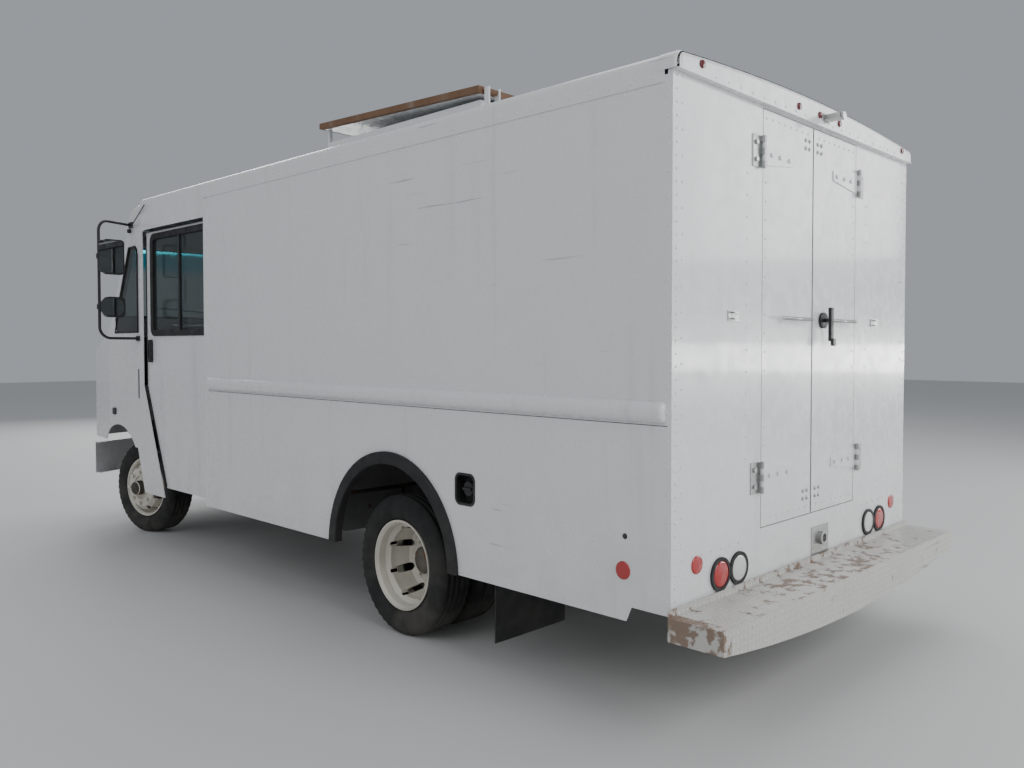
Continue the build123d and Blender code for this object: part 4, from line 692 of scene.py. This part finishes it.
print("side windows: panes", round(5.41 - 4.42, 2), "m long")

# %% [markdown]
# ## Lamps
# Tail lamps are round sealed units pushed into rubber rings. Their lenses are domed with fine moulded rings;
# the stop lamps are red, the inner reversing lamps are clear, and the small markers are dark red.
# %% Spin the lenses
def lens(name, centre, axis, radius, height, look):
    """A domed lens with moulded rings."""
    profile = [(radius, 0.0)]
    for step in range(9):
        share = 1 - step / 8
        ripple = 0.0008 * (step % 2)
        profile.append((max(radius * 0.97 * share, 0.0003), height * (1 - share * share * 0.35) - ripple))
    return piece(name, *spun(profile, centre, axis, 40), look, "chassis")


stop_lens = lens("stop_lamp_left", (REAR, 0.852, 0.650), (-1, 0, 0), 0.060, 0.016, "lamp_red")
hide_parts("lamp_lenses")
lens("stop_lamp_right", (REAR, -0.852, 0.650), (-1, 0, 0), 0.060, 0.016, "lamp_red")
for side_name, s in (("left", 1), ("right", -1)):
    lens(f"reversing_lamp_{side_name}", (REAR, s * 0.700, 0.650), (-1, 0, 0), 0.060, 0.016, "lamp_clear")
    lens(f"rear_reflector_{side_name}", (REAR, s * 1.032, 0.725), (-1, 0, 0), 0.0405, 0.007, "lamp_red")
    lens(f"side_reflector_{side_name}", (REAR + 0.260, s * SKIN_Y, 0.693), (0, s, 0), 0.0405, 0.007,
         "lamp_red")
# A small round hole in the side skin is drawn as a dark disc: painted shade standing in for the hole's dark
# inside.
lens("hole_shade_disc", (REAR + 0.250, SKIN_Y, 0.845), (0, 1, 0), 0.013, 0.004, "seal_dark")
for number, y in enumerate((-1.060, -0.220, 0.0, 0.220, 1.060)):
    lens(f"marker_{number}", (REAR - 0.034, y, 2.868), (-1, 0, 0), 0.018, 0.010, "lamp_dark_red")

# %% [markdown]
# ## Front end
# The nose carries two round headlamps, a black slatted air intake and two wipers parked at the foot of the
# windshield. Each is set on the moulding by finding its surface, so none of them floats.
# %% Fit the nose
for side_name, s in (("left", 1), ("right", -1)):
    place, normal = touch("cab_front", (4.5, s * 0.74, 1.04), (-1, 0, 0))
    bezel = [(0.092, -0.020), (0.098, 0.004), (0.092, 0.012), (0.082, 0.010), (0.080, -0.004)]
    piece(f"headlamp_ring_{side_name}", *spun(bezel, place, (1, 0, 0), 40), "black_plastic", "chassis")
    lens(f"headlamp_{side_name}", place + Vector((-0.006, 0, 0)), (1, 0, 0), 0.082, 0.016, "lamp_clear")
    place, normal = touch("cab_front", (3.0, s * 2.0, 1.10), (0, -s, 0))
    lens(f"side_lamp_{side_name}", place - Vector((0.12, 0, 0)), (0, s, 0), 0.026, 0.012, "seal_dark")
    place, normal = touch("cab_front", (2.73, s * 2.0, 1.09), (0, -s, 0))
    box_loop = [place + Vector((x, -s * 0.001, z)) for x, z in rounded((0, 0), (0.07, 0.06), 0.012)]
    box_lamp = slab(box_loop, None, (0, s * 0.012, 0))
    soft_edges(piece(f"repeater_{side_name}", *box_lamp, "black_plastic", "chassis", False))
    place, normal = touch("cab_front", (2.18, s * 2.0, 1.35), (0, -s, 0))
    slot = slab([place + Vector((x, -s * 0.001, z)) for x, z in rounded((0, 0), (0.016, 0.25), 0.007)], None,
                (0, s * 0.004, 0))
    piece(f"cowl_slot_{side_name}", *slot, "black_rubber", "chassis", False)
place, normal = touch("cab_front", (4.5, 0, 1.05), (-1, 0, 0))
grille = []
for number in range(7):
    z = 0.93 + number * 0.035
    back = place.x - 0.004
    slat = [(back, -0.45, z), (back, 0.45, z), (back, 0.45, z + 0.018), (back, -0.45, z + 0.018)]
    grille.append(slab(slat, None, (0.012, 0, 0)))
soft_edges(piece("grille", *joined(grille), "black_plastic", "chassis", False), 0.003)
for side_name, s in (("left", 1), ("right", -1)):
    path = []
    for share in range(9):
        y = s * (0.12 + share * 0.10)
        place, normal = touch("cab_glass", (4.5, y, 1.975 + share * 0.006), (-1, 0, 0))
        path.append(place + Vector((0.010, 0, 0.004)))
    tube(f"wiper_{side_name}", path, 0.006, "black_rubber", "chassis")

# %% [markdown]
# ## Window seals
# The fixed panes sit in black rubber channels. A bead that follows the edge of each pane hides the gap
# between glass and moulding.
# %% Seal the fixed panes
for side_name, s in (("left", 1), ("right", -1)):
    corners = [(5.660, 1.790), (5.660, 2.440), (5.672, 2.485), (5.705, 2.515), (5.835, 2.515), (6.145, 1.905),
               (6.170, 1.790)]
    edge = [(REAR + x, s * 1.1955, z) for x, z in corners]
    tube(f"quarter_seal_{side_name}", edge, 0.011, "black_rubber", "chassis", True)
foot = Vector((REAR + 6.250, 0, 1.933))
head = Vector((REAR + 5.932, 0, 2.528))
out = Vector(((head - foot).z, 0, -(head - foot).x)).normalized() * 0.004
edge = [foot + out + Vector((0, -1.115, 0)), foot + out + Vector((0, 1.115, 0)),
        head + out + Vector((0, 1.115, 0)), head + out + Vector((0, -1.115, 0))]
tube("windshield_seal", edge, 0.013, "black_rubber", "chassis", True)

# %% [markdown]
# ## Mirrors
# Each mirror head is a black shell with glass on its rearward face.
# %% Glaze the mirrors
for side_name, s in (("left", 1), ("right", -1)):
    for kind, inset in (("mirror_head", 0.012), ("spot_mirror", 0.014)):
        low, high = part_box(f"{kind}_{side_name}")
        middle = ((low.y + high.y) / 2, (low.z + high.z) / 2)
        size = (high.y - low.y - 2 * inset, high.z - low.z - 2 * inset)
        corner = 0.02 if kind == "mirror_head" else 0.055
        loop = [(low.x - 0.0015, y, z) for y, z in rounded(middle, size, corner)]
        face = slab(loop, None, (0.0014, 0, 0))
        piece(f"{kind}_glass_{side_name}", *face, "mirror_face", f"{kind}_{side_name}", False)

# %% [markdown]
# ## Tyres
# A commercial radial has a nearly flat tread with four grooves, blocky shoulders and a bulging sidewall. A
# profile is spun and the shoulder is stepped in at every other slice to make the blocks.
# %% Mould the tyres
def tyre(name, centre, axis, body):
    """One tyre spun about its axle, with grooves and shoulder blocks."""
    half_profile = [(0.2477, 0.0700), (0.2630, 0.0750), (0.2670, 0.0860), (0.2770, 0.0965), (0.3055, 0.1100),
                    (0.3435, 0.1130), (0.3650, 0.1080), (0.3775, 0.1050), (0.3955, 0.0950), (0.4035, 0.0840),
                    (0.4045, 0.0800), (0.4050, 0.0620), (0.3940, 0.0600), (0.3940, 0.0530), (0.4050, 0.0510),
                    (0.4055, 0.0230), (0.3945, 0.0210), (0.3945, 0.0140), (0.4055, 0.0120)]
    profile = half_profile + [(r, -a) for r, a in reversed(half_profile)]
    inner = [(0.2477, -0.0580), (0.2777, -0.0710), (0.3055, -0.0930), (0.3455, -0.0950), (0.3835, -0.0730)]
    profile += inner + [(r, -a) for r, a in reversed(inner)]
    steps = 96
    verts, faces = spun(profile, centre, axis, steps, True)
    centre = Vector(centre)
    axis = Vector(axis).normalized()
    count = len(profile)
    for step in range(0, steps, 2):
        for index in (7, 8, 9, 28, 29, 30):
            verts[step * count + index] = verts[step * count + index].lerp(
                centre + axis * (verts[step * count + index] - centre).dot(axis), 0.02)
    return piece(name, verts, faces, "tyre", body)


steer_axis = (-math.sin(STEER_REST), math.cos(STEER_REST), 0)
for side_name, s in (("left", 1), ("right", -1)):
    front = tyre(f"front_tyre_tread_{side_name}", front_middle(s), steer_axis, f"front_wheel_{side_name}")
    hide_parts(f"front_tyre_{side_name}")
    outer_tyre = tyre(f"rear_outer_tyre_{side_name}", (REAR_AXLE_X, s * OUTER_TYRE_Y, AXLE_Z), (0, 1, 0),
                      f"rear_wheels_{side_name}")
    tyre(f"rear_inner_tyre_{side_name}", (REAR_AXLE_X, s * INNER_TYRE_Y, AXLE_Z), (0, 1, 0),
         f"rear_wheels_{side_name}")
    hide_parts(f"rear_tyres_{side_name}")
print("tyres: two steered and four driven, middle height", AXLE_Z)

# %% [markdown]
# ## Seat
# The cushions are foam in black vinyl. A flat block would look like a box, so each face is crowned, the
# corners are pulled in, and two stitched grooves run across it.
# %% Upholster the seat
def cushion(name, low, high, thick_axis):
    """A crowned pad with two stitched grooves; thick_axis is the axis it is thin along."""
    low = Vector(low)
    high = Vector(high)
    middle = (low + high) / 2
    size = (high - low) / 2
    flat_axes = [a for a in range(3) if a != thick_axis]
    count = 26
    verts = []
    faces = []
    for face_sign in (1, -1):
        base = len(verts)
        for i in range(count + 1):
            for j in range(count + 1):
                a = -1 + 2 * i / count
                b = -1 + 2 * j / count
                edge = max(abs(a), abs(b))
                crown = (1 - abs(a) ** 4) * (1 - abs(b) ** 4)
                groove = sum(math.exp(-((a - g) / 0.035) ** 2) for g in (-0.36, 0.36)) * 0.16
                rise = 0.55 + 0.45 * crown ** 0.5 - groove * min(1.0, 3 * (1 - edge))
                point = Vector((0, 0, 0))
                point[flat_axes[0]] = middle[flat_axes[0]] + size[flat_axes[0]] * a * (1 - 0.03 * b * b)
                point[flat_axes[1]] = middle[flat_axes[1]] + size[flat_axes[1]] * b * (1 - 0.03 * a * a)
                point[thick_axis] = middle[thick_axis] + size[thick_axis] * rise * face_sign
                verts.append(point)
        for i in range(count):
            for j in range(count):
                k = base + i * (count + 1) + j
                faces.append((k, k + 1, k + count + 2, k + count + 1))
    rim = [i * (count + 1) for i in range(count)] + [count * (count + 1) + j for j in range(count)]
    rim += [(count - i) * (count + 1) + count for i in range(count)] + [count - j for j in range(count)]
    shift = (count + 1) ** 2
    for k, start in enumerate(rim):
        end = rim[(k + 1) % len(rim)]
        faces.append((start, end, end + shift, start + shift))
    made = piece(name, verts, faces, "seat_vinyl", "seat")
    rounding = made.modifiers.new("rounding", "SUBSURF")
    rounding.levels = 1
    rounding.render_levels = 1
    return made


seat_rear_x = REAR + 4.700
seat_pad = cushion("seat_pad", (seat_rear_x + 0.090, 0.352, 1.1690), (seat_rear_x + 0.498, 0.848, 1.279), 2)
back_pad = cushion("back_pad", (seat_rear_x - 0.019, 0.352, 1.182), (seat_rear_x + 0.083, 0.848, 1.858), 0)
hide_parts("seat_cushions")
print("seat cushions:", len(seat_pad.data.vertices), "and", len(back_pad.data.vertices), "points")

# %% [markdown]
# ## Hatch lid
# The lid's board is plywood, but its underside and the stays are painted white.
# %% Paint the hatch underside
low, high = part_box("roof_hatch")
under = []
for x, y in ((low.x + 0.06, 0.375), (high.x - 0.03, 0.375), (high.x - 0.03, 1.025), (low.x + 0.06, 1.025)):
    place, normal = touch("roof_hatch", (x, y, 2.5), (0, 0, 1))
    under.append(place + Vector((0, 0, -0.0022)))
piece("hatch_underside", *slab(under, None, (0, 0, 0.002)), "body_paint", "roof_hatch", False)
